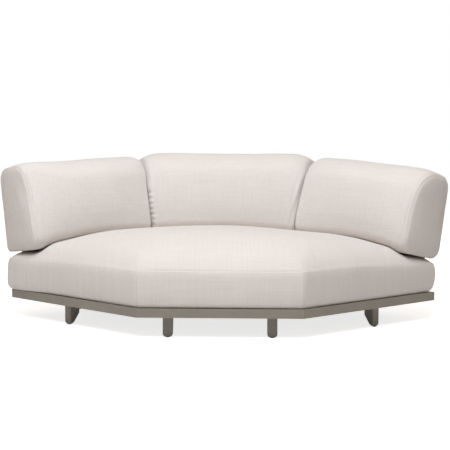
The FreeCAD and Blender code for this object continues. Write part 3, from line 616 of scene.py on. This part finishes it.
def make_seat():
    """The seat's cover with its seams, and the row of points beside its top seam for the stitches."""
    nx = SEAT_CELLS["front"]
    ny = SEAT_CELLS["end"] + SEAT_CELLS["back"]
    nz = SEAT_CELLS["border"]
    place, faces, index = box_lattice(nx, ny, nz)
    seat = make_mesh("seat_cushion_cover", seat_points(place), faces)
    border_ring = ring(index, 2, nz)
    pins = np.where(place[:, 2] == 0, 1.0, 0.0)
    gathers = np.zeros(len(place))
    gathers[border_ring] = 1.0
    puff_up(seat, pins, gathers, SEAT_PRESSURE, SEAT_CAP, SEAT_CALM)
    points = pressed(mesh_points(seat.data))
    set_points(seat, points)
    end = SEAT_CELLS["end"]
    front = open_pairs(index[:, 0, nz])
    fronts = {frozenset(pair) for pair in front}
    others = [pair for pair in closed_pairs(border_ring) if frozenset(pair) not in fronts]
    seams = [(front + closed_pairs(ring(index, 2, 0)), SEAM_DEPTH), (others, SIDE_SEAM_DEPTH)]
    for i, j in ((0, 0), (nx, 0), (nx, end), (nx, ny), (0, ny), (0, end)):
        seams.append((open_pairs(index[i, j]), CORNER_SEAM_DEPTH))
    sew(seat, SEAM_WIDTH, seams)
    row = beside(points, border_ring, ring(index, 2, nz - 1), STITCH_OFFSET)
    return seat, row


seat, seat_stitch_row = make_seat()
subdivide(seat)
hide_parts("seat_cover", "seat_base_panel", "seat_filling")
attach(seat, "seat_cushion")


# Back cushions


seat_tree = surface_tree(seat)
stitches = {"seat": stitched("seat_cushion_stitches", seat_tree, [(seat_stitch_row, True)], "seat_cushion")}
RAY_START = 1.2
NOWHERE = -1.0


def seat_height(x, y, missing):
    """The height of the seat's surface, or the value for a place beside it."""
    hit = seat_tree.ray_cast(Vector((x, y, RAY_START)), Vector((0, 0, -1)))[0]
    return hit.z if hit is not None else missing


# Each cushion's heading, its height, how far its top rises in the middle, how deep its mitred ends fall
# and the plan's corners that it starts between. The side cushions also have, at their outer ends: the
# rounding and the top's fall, how far the rear and the front of the foot drop, and the heel's rounding,
# flare, shears, taper and top rounding.
BACKS = {
    "right": {"body": "right_back_cushion", "heading": 135, "outer_height": 0.410, "outer_round": 0.016,
              "outer_drop": 0.032, "foot_drop": 0.025, "front_drop": 0.020, "heel": 0.055, "flare": 0.028,
              "shear": 0.020, "top_shear": 0.0, "taper": 0.016, "top_radius": 0.125, "rise": 0.012,
              "mitre": 1.25, "corners": [2]},
    "centre": {"body": "centre_back_cushion", "heading": 180, "height": 0.470, "rise": 0.005,
               "mitre": 1.0, "corners": [3, 4]},
    "left": {"body": "left_back_cushion", "heading": 225, "outer_height": 0.434, "outer_round": 0.011,
             "outer_drop": 0.023, "foot_drop": -0.004, "front_drop": 0.015, "heel": 0.024, "flare": 0.010,
             "shear": 0.0, "top_shear": 0.013, "taper": 0.046, "top_radius": 0.062, "rise": 0.003,
             "mitre": 1.0, "corners": [4]},
}
SIDE_INNER_HEIGHT = 0.455
OUTER_OVERHANG = 0.006
OUTER_REACH = 0.110
MITRE_DROP = 0.046
MITRE_REACH = 0.110
MITRE_ROUND = 0.016
ROUNDING_CELLS = 2
FOOT_SPAN = 0.22
FLARE_SPAN = 0.34
BACK_CELLS = {"side": 60, "centre": 72, "deep": 18, "high": 40}
LONGEST_ROUNDING = 1.0
REST_GAP = 0.0012
LEVEL_ROUNDS = 3
BACK_PRESSURE = 1.5
BACK_CAP = 0.012
BACK_CALM = 40
BACK_GATHER = 0.6

# Cells from the rear panel's seam to the foot, to the top and to each end
PANEL_LOW_CELLS = 3
PANEL_HIGH_CELLS = 4
PANEL_END_CELLS = 4


def lean_matrix(heading, start):
    """A leaning frame at a corner of the plan: x along the rail, y to the sofa's middle, z up the lean."""
    place = Matrix.Translation((start[0], start[1], RAIL_TOP))
    return place @ Matrix.Rotation(math.radians(heading), 4, "Z") @ Matrix.Rotation(LEAN, 4, "X")


def end_fall(distance, drop, reach):
    """How far the top falls off, or the section is drawn in, at a distance from an end."""
    share = 1 - min(distance / reach, 1)
    return drop * (1 - math.sqrt(1 - share * share))


def level_depth(forward, up):
    """How far in from the rail a place in the leaning frame lies, measured level."""
    return forward * math.cos(LEAN) - up * math.sin(LEAN)


def stations(length, near, far, cells):
    """Places along a cushion: over the roundings of its ends, at the stitches beside them, and between."""
    few = ROUNDING_CELLS
    first = near * (1 - np.cos(np.linspace(0, math.pi / 2, few + 1)))
    last = length - far * (1 - np.cos(np.linspace(math.pi / 2, 0, few + 1)))
    middle = np.linspace(near + STITCH_OFFSET, length - far - STITCH_OFFSET, cells - 2 * few - 1)
    return np.concatenate([first, middle, last])


def section_sides(values, low_front, into):
    """Front, top, rear and bottom of a section as polylines of (forward, up)."""
    rear = SOFT_GAP + into
    thick = values["thick"] - into
    top = values["top"] - into
    low = values["low"] + into
    high_front = thick - values["taper"]
    corners = np.array([
        (rear, low),
        (thick + values["flare"], low_front + into),
        (high_front, top),
        (rear, top),
    ])
    radii = [values["heel"], FRONT_FOOT_RADIUS, values["top_radius"] - into, REAR_TOP_RADIUS]
    bottom, front, top_side, rear_side = polygon_sides(corners, radii, LONGEST_ROUNDING)
    deep = BACK_CELLS["deep"]
    high = BACK_CELLS["high"]
    bottom = resampled(bottom, deep)
    front = resampled(front, high)
    top_side = resampled(top_side, deep)[::-1]
    rear_side = resampled(rear_side, high)[::-1]
    front[:, 0] += FRONT_CROWN * np.sin(np.linspace(0, math.pi, high + 1))
    top_side[:, 1] += TOP_CROWN * np.sin(np.linspace(0, math.pi, deep + 1))
    return front, top_side, rear_side, bottom


def back_points(name, place, matrix):
    """The points of a back cushion in its leaning frame, with its foot on the seat's surface."""
    facts = BACKS[name]
    centre = name == "centre"
    full = REAR_LENGTH if centre else SIDE_LENGTH
    near_end = MITRE_GAP if centre else -OUTER_OVERHANG
    near_round = MITRE_ROUND if centre else facts["outer_round"]
    length = full - near_end - MITRE_GAP
    flip = name == "left"
    nx, ny, nz = place.max(0)
    i, j, k = place.T
    points = np.zeros((len(place), 3))
    for number, along in enumerate(stations(length, near_round, MITRE_ROUND, nx)):
        share = (near_end + along) / full
        hump = 1 - (2 * share - 1) ** 2
        if centre:
            turn = 2 * share - 1
            height = facts["height"]
            fall = end_fall(along, MITRE_DROP * BACKS["right"]["mitre"], MITRE_REACH)
        else:
            turn = share
            height = facts["outer_height"] * (1 - share) + SIDE_INNER_HEIGHT * share
            fall = end_fall(along, facts["outer_drop"], OUTER_REACH)
        fall += end_fall(length - along, MITRE_DROP * facts["mitre"], MITRE_REACH)
        height += facts["rise"] * hump
        into = end_fall(along, near_round, near_round)
        into += end_fall(length - along, MITRE_ROUND, MITRE_ROUND)
        values = {
            "thick": SOFT_GAP + BACK_THICKNESS + BACK_CROWN * hump,
            "top": BACK_BOTTOM + height - fall,
            "low": BACK_BOTTOM,
            "flare": 0.0,
            "heel": FOOT_RADIUS,
            "taper": BACK_TAPER,
            "top_radius": FRONT_TOP_RADIUS,
        }
        lowest = BACK_BOTTOM
        shear = top_shear = 0.0
        if not centre:
            flared = float(smoothstep(1 - share / FLARE_SPAN))
            values["low"] -= facts["foot_drop"] * max(0, 1 - share / FOOT_SPAN)
            values["flare"] = facts["flare"] * flared
            for key in ("heel", "taper", "top_radius"):
                values[key] += (facts[key] - values[key]) * flared
            shear = facts["shear"] * flared
            top_shear = facts["top_shear"] * flared
            lowest -= facts["front_drop"]
        across = near_end + along - (full / 2 if centre else 0)

        def mitred(forward, up):
            return across - turn * level_depth(forward, up) * HALF_TURN_TAN

        forward = values["thick"] + values["flare"]
        low_front = BACK_BOTTOM
        for _ in range(LEVEL_ROUNDS):
            x = mitred(forward, low_front)
            world = matrix @ Vector((full - x if flip else x, forward, low_front))
            level = seat_height(world.x, world.y, SEAT_SEAM)
            low_front += (level + REST_GAP - world.z) / math.cos(LEAN)
        low_front = max(low_front, lowest)
        front, top_side, rear_side, bottom = section_sides(values, low_front, into)
        here = i == number
        for chosen, edge, index in (
            (here & (j == ny), front, k),
            (here & (k == nz), top_side, j),
            (here & (j == 0), rear_side, k),
            (here & (k == 0), bottom, j),
        ):
            points[chosen, 1:] = edge[index[chosen]]
        if number in (0, nx):
            grid = patch(bottom, top_side, rear_side, front)
            inner = here & (j > 0) & (j < ny) & (k > 0) & (k < nz)
            points[inner, 1:] = grid[j[inner], k[inner]]
        lowness = 1 - np.clip((points[here, 2] - low_front) / (values["top"] - low_front), 0, 1)
        pushed = shear * lowness * np.clip(points[here, 1] / forward, 0, 1) + top_shear * (1 - lowness)
        points[here, 0] = mitred(points[here, 1], points[here, 2]) + pushed
    if flip:
        points[:, 0] = full - points[:, 0]
    return points


MITRE_SPREAD = 0.15
# Height above the floor and sideways push of the cushions there, at each mitre
MITRE_SHIFTS = {
    "right": np.array([
        (0.30, 0.014),
        (0.35, 0.012),
        (0.41, -0.013),
        (0.48, -0.009),
        (0.56, 0.003),
        (0.66, 0.014),
        (0.80, 0.017),
    ]),
    "left": np.array([
        (0.42, 0.000),
        (0.50, -0.006),
        (0.62, -0.013),
        (0.69, -0.008),
        (0.80, 0.004),
    ]),
}


def mitre_shift(points, side):
    """Pushes both cushions sideways near a mitre, as they press on each other."""
    sign = 1 if side == "right" else -1
    corner = np.array([*plan_corners(0)[3], 0]) * (sign, 1, 1)
    across = np.array([math.cos(OBTUSE_HALF_TURN) * sign, -math.sin(OBTUSE_HALF_TURN), 0])
    distance = (points - corner) @ across
    heights, shifts = MITRE_SHIFTS[side].T
    points[:, 0] += smooth_curve(heights, shifts, points[:, 2]) * np.exp(-((distance / MITRE_SPREAD) ** 2))
    return points


def simulate_back(piece, name, place):
    """Blows the cushion up between its held underside, rear and mitred ends."""
    i, j, k = place.T
    nx, _, nz = place.max(0)
    mitred = (i == nx) | ((i == 0) & (name == "centre"))
    pins = np.where(mitred | (k == 0) | (j == 0), 1.0, 0.0)
    gathers = np.where((k == nz) & (j == 0), BACK_GATHER, 0.0)
    puff_up(piece, pins, gathers, BACK_PRESSURE, BACK_CAP, BACK_CALM)


FOLD_DEPTH = 0.006
FOLD_PITCH = 0.027
FOLD_REACH = 0.040
FOLD_SLANT = 0.10
FOLD_TOP = 0.44
FOLD_FADE = 0.12
PUCKER_DEPTH = 0.009
PUCKER_PITCH = 0.028
PUCKER_REACH = 0.020
PUCKER_TOP = 0.45
PUCKER_FADE = 0.03


def wrinkle(piece, place):
    """The centre cushion's soft upright folds by the right mitre and its puckers by the left one."""
    points = mesh_points(piece.data)
    x, y, z = points.T
    front = place[:, 1] == place[:, 1].max()
    end = REAR_LENGTH / 2 - level_depth(y, z) * HALF_TURN_TAN
    right = np.maximum(end + x, 0)
    high = z - BACK_BOTTOM
    fade = smoothstep(high / FOLD_FADE) * smoothstep((FOLD_TOP - high) / FOLD_FADE)
    folds = np.cos(2 * math.pi * (right + FOLD_SLANT * high) / FOLD_PITCH) * np.exp(-right / FOLD_REACH)
    points[front, 1] -= (FOLD_DEPTH * folds * fade)[front]
    left = np.maximum(end - x, 0)
    gate = np.maximum(np.cos(2 * math.pi * z / PUCKER_PITCH), 0)
    gate *= smoothstep((PUCKER_TOP - z) / PUCKER_FADE)
    puckers = PUCKER_DEPTH * gate * np.exp(-((left / PUCKER_REACH) ** 2))
    points[front, 0] -= puckers[front]
    points[front, 1] -= puckers[front] / 2
    set_points(piece, points)


def settle(piece):
    """Lifts what would sink into the seat on to its surface."""
    points = mesh_points(piece.data)
    for point in points:
        point[2] = max(point[2], seat_height(point[0], point[1], NOWHERE) + REST_GAP)
    set_points(piece, points)


def back_seams(name, index, points):
    """A back cushion's seams with their depths, and the closed rows of its stitches."""
    nx, _, nz = np.array(index.shape) - 1
    end_depth = SEAM_DEPTH if name == "centre" else END_SEAM_DEPTH
    seams = [
        (closed_pairs(ring(index, 0, 1)), end_depth),
        (closed_pairs(ring(index, 0, nx - 1)) + open_pairs(index[1:nx, 0, nz]), SEAM_DEPTH),
    ]
    rows = []
    if name != "centre":
        stitch_ring = ring(index, 0, ROUNDING_CELLS + 1)
        rows.append((points[stitch_ring], True))
        seams.append((closed_pairs(stitch_ring), END_SEAM_DEPTH))
    low, high = PANEL_LOW_CELLS, nz - PANEL_HIGH_CELLS
    first, last = PANEL_END_CELLS, nx - PANEL_END_CELLS

    def panel_loop(into):
        """The rear panel's outline, or the points that lie into cells further inside it."""
        return np.concatenate([
            index[first:last, 0, low + into],
            index[last - into, 0, low:high],
            index[last:first:-1, 0, high - into],
            index[first + into, 0, high:low:-1],
        ])

    panel = panel_loop(0)
    seams.append((closed_pairs(panel), SEAM_DEPTH))
    rows.append((beside(points, panel, panel_loop(1), STITCH_OFFSET), True))
    return seams, rows


def make_back(name):
    facts = BACKS[name]
    centre = name == "centre"
    matrix = lean_matrix(facts["heading"], plan_corners(0)[facts["corners"]].mean(0))
    cells = BACK_CELLS
    place, faces, index = box_lattice(cells["centre" if centre else "side"], cells["deep"], cells["high"])
    points = back_points(name, place, matrix)
    if name == "left":
        faces = faces[:, ::-1]
    piece = make_mesh(name + "_back_cushion_cover", points, faces)
    simulate_back(piece, name, place)
    if centre:
        wrinkle(piece, place)
    piece.data.transform(matrix)
    for side in ("left", "right"):
        if name in (side, "centre"):
            set_points(piece, mitre_shift(mesh_points(piece.data), side))
    settle(piece)
    seams, rows = back_seams(name, index, mesh_points(piece.data))
    sew(piece, SEAM_WIDTH, seams)
    subdivide(piece)
    stitches[name] = stitched(name + "_back_cushion_stitches", surface_tree(piece), rows, facts["body"])
    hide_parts(name + "_back_cover", name + "_back_panel", name + "_back_filling")
    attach(piece, facts["body"])
    back_frames[name] = matrix
    return piece


# Painted shade: how far from the seat the darker, warmer tint at a back cushion's foot reaches
FOOT_SHADE_REACH = 0.036


def paint_foot_shade(piece):
    """Stores how near a back cushion's points are to the seat, for the painted shade on its canvas, which
    is darker and warmer there.
    """
    spots = [Vector(point) for point in mesh_points(piece.data)]
    near = [math.exp(-seat_tree.find_nearest(spot)[3] / FOOT_SHADE_REACH) for spot in spots]
    piece.data.attributes.new("near_seat", "FLOAT", "POINT").data.foreach_set("value", near)


back_frames = {}
backs = {name: make_back(name) for name in BACKS}
for piece in backs.values():
    paint_foot_shade(piece)


# Materials


class Nodes:
    """Short calls for building a material's nodes."""

    def __init__(self, name):
        self.material = bpy.data.materials.new(name)
        self.material.use_nodes = True
        self.tree = self.material.node_tree
        self.shader = self.tree.nodes["Principled BSDF"]
        self.place = self.add("ShaderNodeTexCoord").outputs["Object"]

    def add(self, kind, inputs=(), **settings):
        node = self.tree.nodes.new(kind)
        for key, value in settings.items():
            setattr(node, key, value)
        for key, value in dict(inputs).items():
            if isinstance(value, bpy.types.NodeSocket):
                self.tree.links.new(value, node.inputs[key])
            else:
                node.inputs[key].default_value = value
        return node

    def math(self, operation, first, second=0.0):
        return self.add("ShaderNodeMath", {0: first, 1: second}, operation=operation).outputs[0]

    def sum(self, *terms):
        """The sum of values, each times its weight."""
        total = None
        for value, weight in terms:
            part = self.math("MULTIPLY", value, weight)
            total = part if total is None else self.math("ADD", total, part)
        return total

    def mix(self, share, first, second, blend="MIX"):
        inputs = {0: share, 6: first, 7: second}
        return self.add("ShaderNodeMix", inputs, data_type="RGBA", blend_type=blend).outputs[2]

    def noise(self, vector, scale, detail=2.0, roughness=0.5):
        inputs = {"Vector": vector, "Scale": scale, "Detail": detail, "Roughness": roughness}
        return self.add("ShaderNodeTexNoise", inputs).outputs["Fac"]

    def ramp(self, value, low, high, start=0.0, end=1.0):
        """The value stretched so that low becomes the start and high becomes the end."""
        inputs = {"Value": value, "From Min": low, "From Max": high, "To Min": start, "To Max": end}
        return self.add("ShaderNodeMapRange", inputs).outputs["Result"]

    def stretched(self, vector, scale):
        return self.add("ShaderNodeMapping", {"Vector": vector, "Scale": scale}).outputs["Vector"]

    def set(self, **values):
        for key, value in values.items():
            socket = self.shader.inputs[key.replace("_", " ")]
            if isinstance(value, bpy.types.NodeSocket):
                self.tree.links.new(value, socket)
            else:
                socket.default_value = value

    def bump(self, height, distance, strength=1.0):
        node = self.add("ShaderNodeBump", {"Height": height, "Distance": distance, "Strength": strength})
        self.tree.links.new(node.outputs["Normal"], self.shader.inputs["Normal"])


THREAD = 0.0011
YARN = 0.0016
SLUB_LENGTH = 0.09
# Scales of the noises along and across the slubs: of the slubs, wide bands, and bands the other way
SLUB_SCALES = (1 / SLUB_LENGTH, 1 / YARN)
BAND_SCALES = (3, 150)
PLY_SCALES = (6, 110)
FABRIC_CLOUD_SCALE = 5.0
GRAIN_ROUGHNESS = 0.6
# What each adds to the canvas's shade, and the sums that are the dark and the light tone
SHADE_WEIGHTS = {"slub": 0.50, "band": 0.56, "ply": 0.48, "cloud": 0.25, "weave": 0.05}
SHADE_RANGE = (0.6216, 1.1216)
ROUGH_RANGE = (-3.0, 1.5)
WEAVE_HEIGHT_WEIGHT = 0.5
WEAVE_DEPTH = 0.0006
WEAVE_STRENGTH = 0.8
# Painted shade: the tint that darkens and warms a back cushion's canvas near the seat
FOOT_PAINTED_SHADE = (0.88, 0.815, 0.765, 1)
ACROSS = {"rows": "columns", "columns": "rows", "depth": "rows"}


def grain(made, coordinates, along, scales):
    """Noise that is drawn out in one direction: rows along x, columns along z, depth along y and z."""
    long, fine = scales
    directions = {"rows": (long, fine, fine), "columns": (fine, fine, long), "depth": (fine, long, long)}
    return made.noise(made.stretched(coordinates, directions[along]), 1.0, 2.0, GRAIN_ROUGHNESS)


def woven_material(name, light, dark, along, frame_matrix=None):
    """Pale canvas with slubs in one direction, and on a back cushion a painted shade, darker and warmer,
    near the seat.
    """
    made = Nodes(name)
    coordinates = made.place
    if frame_matrix is not None:
        place, turn, _ = frame_matrix.decompose()
        inputs = {"Vector": coordinates, "Location": place, "Rotation": turn.to_euler()}
        coordinates = made.add("ShaderNodeMapping", inputs, vector_type="TEXTURE").outputs["Vector"]
    x, y, z = made.add("ShaderNodeSeparateXYZ", {"Vector": coordinates}).outputs
    warp = made.math("SINE", made.math("MULTIPLY", x, math.pi / THREAD))
    weft = made.math("SINE", made.math("MULTIPLY", made.math("ADD", y, z), math.pi / THREAD))
    parts = {
        "slub": grain(made, coordinates, along, SLUB_SCALES),
        "band": grain(made, coordinates, along, BAND_SCALES),
        "ply": grain(made, coordinates, ACROSS[along], PLY_SCALES),
        "cloud": made.noise(coordinates, FABRIC_CLOUD_SCALE),
        "weave": made.math("MULTIPLY", warp, weft),
    }
    shade = made.sum(*((parts[part], weight) for part, weight in SHADE_WEIGHTS.items()))
    colour = made.mix(made.ramp(shade, *SHADE_RANGE), (*dark, 1), (*light, 1))
    if frame_matrix is not None:
        # Painted shade near the seat: the canvas is multiplied by the darker, warmer tint
        near = made.add("ShaderNodeAttribute", attribute_name="near_seat").outputs["Fac"]
        colour = made.mix(near, colour, FOOT_PAINTED_SHADE, "MULTIPLY")
    made.set(Base_Color=colour, Roughness=made.ramp(parts["slub"], *ROUGH_RANGE))
    made.set(Sheen_Weight=0.25, Sheen_Roughness=0.5, Specular_IOR_Level=0.2)
    height = made.sum((parts["weave"], WEAVE_HEIGHT_WEIGHT), (parts["slub"], 1.0))
    made.bump(height, WEAVE_DEPTH, WEAVE_STRENGTH)
    return made.material


PEEL_SCALE = 900.0
PEEL_DEPTH = 0.0002
PEEL_STRENGTH = 0.35
PEEL_ROUGHNESS = 0.08
COAT_CLOUD_SCALE = 6.0
COAT_CLOUD_RANGE = (0.35, 0.65)
# Painted shade on the feet: the heights over which it fades out, and how far the cloud noise moves its edge
FLOOR_SHADE_RANGE = (0.01, 0.11)
FLOOR_SHADE_EDGE = 0.02


def coated_material(name, colour, shade, roughness, floor_shade=1.0):
    """Powder coating: fine orange peel, a slight change of tone, and a painted shade that darkens it
    towards the floor.
    """
    made = Nodes(name)
    peel = made.noise(made.place, PEEL_SCALE)
    cloud = made.noise(made.place, COAT_CLOUD_SCALE, 3.0)
    worn = tuple(channel * shade for channel in colour)
    tone = made.mix(made.ramp(cloud, *COAT_CLOUD_RANGE), (*colour, 1), (*worn, 1))
    # Painted shade: the colour darkens towards the floor
    if floor_shade < 1:
        height = made.add("ShaderNodeSeparateXYZ", {"Vector": made.place}).outputs["Z"]
        level = made.sum((height, 1.0), (cloud, FLOOR_SHADE_EDGE))
        low = tuple(channel * floor_shade for channel in colour)
        tone = made.mix(made.ramp(level, *FLOOR_SHADE_RANGE), (*low, 1), tone)
    spread = made.ramp(peel, 0.0, 1.0, roughness - PEEL_ROUGHNESS, roughness + PEEL_ROUGHNESS)
    made.set(Base_Color=tone, Roughness=spread, Specular_IOR_Level=0.4)
    made.bump(peel, PEEL_DEPTH, PEEL_STRENGTH)
    return made.material


FABRIC_LIGHT = (0.838, 0.823, 0.812)
FABRIC_DARK = (0.750, 0.730, 0.714)
THREAD_COLOUR = (0.50, 0.462, 0.43)
THREAD_PALER = 1.15
TWIST_SCALE = 2500.0
TWIST_DEPTH = 0.0002
TWIST_STRENGTH = 0.5
# Painted shade: the back cushions' canvas is the seat's canvas made darker, for the light that falls on
# their tops
BACK_PAINTED_SHADE = 0.955
BACK_SHADED_LIGHT = tuple(channel * BACK_PAINTED_SHADE for channel in FABRIC_LIGHT)
BACK_SHADED_DARK = tuple(channel * BACK_PAINTED_SHADE for channel in FABRIC_DARK)
BACK_GRAINS = {"right": "rows", "centre": "columns", "left": "rows"}
seat.data.materials.append(woven_material("seat_canvas", FABRIC_LIGHT, FABRIC_DARK, "depth"))
for name, piece in backs.items():
    values = (name + "_back_canvas", BACK_SHADED_LIGHT, BACK_SHADED_DARK, BACK_GRAINS[name], back_frames[name])
    piece.data.materials.append(woven_material(*values))


def thread_material():
    """Sewing thread: twisted, a shade darker than the canvas."""
    made = Nodes("sewing_thread")
    twist = made.noise(made.place, TWIST_SCALE, 1.0)
    pale = tuple(channel * THREAD_PALER for channel in THREAD_COLOUR)
    made.set(Base_Color=made.mix(twist, (*THREAD_COLOUR, 1), (*pale, 1)), Roughness=0.7, Sheen_Weight=0.2)
    made.bump(twist, TWIST_DEPTH, TWIST_STRENGTH)
    return made.material


thread = thread_material()
for piece in stitches.values():
    piece.data.materials.append(thread)

TAUPE = (0.260, 0.243, 0.210)
BLACK = (0.02, 0.02, 0.02)
STEEL = (0.35, 0.34, 0.33)
coatings = {
    "rail": coated_material("taupe_rail_coating", TAUPE, 0.93, 0.52),
    # The feet carry a painted shade that darkens them towards the floor
    "foot": coated_material("taupe_foot_coating", TAUPE, 0.88, 0.55, floor_shade=0.42),
    "back": coated_material("taupe_back_frame_coating", TAUPE, 0.92, 0.52),
    "deck": coated_material("taupe_deck_coating", TAUPE, 0.85, 0.60),
    "glide": coated_material("black_glide_plastic", BLACK, 0.8, 0.45),
    "bolt": coated_material("bolt_steel", STEEL, 0.9, 0.35),
}
coatings["bolt"].node_tree.nodes["Principled BSDF"].inputs["Metallic"].default_value = 1.0


def coating_of(node):
    """The coating of a CAD node, by the words in its name."""
    for word, coating in (("rail", "rail"), ("foot_glides", "glide"), ("foot", "foot"), ("bolts", "bolt")):
        if word in node:
            return coatings[coating]
    return coatings["back" if "upright" in node or "bar" in node else "deck"]


for name, node in nodes.items():
    node.data.materials.clear()
    node.data.materials.append(coating_of(name))


# Floor, light and camera


FLOOR_SIZE = 9.0
FLOOR_TONE = 0.80
# The floor's glow near the sofa, and the distances over which it grows to a full one
FLOOR_GLOW = 0.76
GLOW_RANGE = (2.0, 4.5)


def seen_rays(tree):
    """1 for rays from the camera, from gloss and through glass, 0 for the light on other surfaces."""
    path = tree.nodes.new("ShaderNodeLightPath")
    total = path.outputs["Is Camera Ray"]
    for ray in ("Is Glossy Ray", "Is Transmission Ray"):
        node = tree.nodes.new("ShaderNodeMath")
        node.operation = "MAXIMUM"
        tree.links.new(total, node.inputs[0])
        tree.links.new(path.outputs[ray], node.inputs[1])
        total = node.outputs[0]
    return total


def floor_paint():
    """Pale paint that the camera sees white, apart from the object's shadow."""
    made = Nodes("studio_floor")
    made.set(Base_Color=(FLOOR_TONE, FLOOR_TONE, FLOOR_TONE, 1), Roughness=0.9, Specular_IOR_Level=0.0)
    distance = made.add("ShaderNodeVectorMath", {0: made.place}, operation="LENGTH").outputs["Value"]
    glow = made.math("MULTIPLY", seen_rays(made.tree), made.ramp(distance, *GLOW_RANGE, FLOOR_GLOW))
    made.set(Emission_Color=(1, 1, 1, 1), Emission_Strength=glow)
    return made.material


def make_floor():
    size = FLOOR_SIZE
    corners = [(-size, -size, 0), (size, -size, 0), (size, size, 0), (-size, size, 0)]
    floor = make_mesh("floor", corners, [(0, 1, 2, 3)])
    floor.data.materials.append(floor_paint())


make_floor()

WORLD_LEVEL = 0.26
WORLD_COLOUR = (1, 0.81, 0.67, 1)


def make_world():
    """An even pale room; rays from the camera and from gloss see plain white."""
    world = bpy.data.worlds.new("studio")
    bpy.context.scene.world = world
    world.use_nodes = True
    tree = world.node_tree
    background = tree.nodes["Background"]
    background.inputs["Color"].default_value = WORLD_COLOUR
    background.inputs["Strength"].default_value = WORLD_LEVEL
    white = tree.nodes.new("ShaderNodeBackground")
    white.inputs["Color"].default_value = (1, 1, 1, 1)
    mixer = tree.nodes.new("ShaderNodeMixShader")
    tree.links.new(seen_rays(tree), mixer.inputs[0])
    tree.links.new(background.outputs[0], mixer.inputs[1])
    tree.links.new(white.outputs[0], mixer.inputs[2])
    tree.links.new(mixer.outputs[0], tree.nodes["World Output"].inputs["Surface"])


def add_lamp(name, place, aim, size, power):
    lamp = bpy.data.lights.new(name, "AREA")
    lamp.shape = "SQUARE"
    lamp.size = size
    lamp.energy = power
    holder = add_object(name, lamp)
    holder.location = place
    holder.rotation_euler = (Vector(aim) - Vector(place)).to_track_quat("-Z", "Y").to_euler()


# Each lamp's place, what it aims at, its size and its power in watts
LAMPS = {
    "overhead": ((-0.1, -1.7, 3.7), (0, 0, 0.4), 3.0, 125),
    "upper_left": ((-1.9, -2.3, 4.1), (0, 0, 0.4), 2.0, 28),
    "rear": ((1.2, 4.6, 2.2), (0, 0.4, 0.4), 3.0, 20),
}
make_world()
for name, values in LAMPS.items():
    add_lamp(name, *values)

# Camera, as worked out from the photograph's landmarks
CAMERA_LENS = 112
CAMERA_SENSOR = 36
CAMERA_YAW = math.radians(-0.9099)
CAMERA_PITCH = math.radians(4.563)
CAMERA_ROLL = math.radians(0.2974)
CAMERA_HEIGHT = 1.022
CAMERA_DISTANCE = 6.301
CAMERA_SIDE = 0.02079


def make_camera():
    c, s = math.cos(CAMERA_YAW), math.sin(CAMERA_YAW)

    def turned(x, y, z):
        return Vector((c * x + s * y, -s * x + c * y, z))

    forward = turned(0, math.cos(CAMERA_PITCH), -math.sin(CAMERA_PITCH))
    up = turned(0, math.sin(CAMERA_PITCH), math.cos(CAMERA_PITCH))
    right = turned(1, 0, 0)
    side = right * math.cos(CAMERA_ROLL) + up * math.sin(CAMERA_ROLL)
    above = up * math.cos(CAMERA_ROLL) - right * math.sin(CAMERA_ROLL)
    camera = add_object("camera", bpy.data.cameras.new("camera"))
    camera.data.lens = CAMERA_LENS
    camera.data.sensor_width = CAMERA_SENSOR
    place = turned(CAMERA_SIDE, -CAMERA_DISTANCE, CAMERA_HEIGHT) + Vector((0, FRONT_Y, 0))
    turn = Matrix((side, above, -forward)).transposed()
    camera.matrix_world = Matrix.Translation(place) @ turn.to_4x4()
    bpy.context.scene.camera = camera


make_camera()

bpy.context.scene.view_settings.view_transform = "Standard"
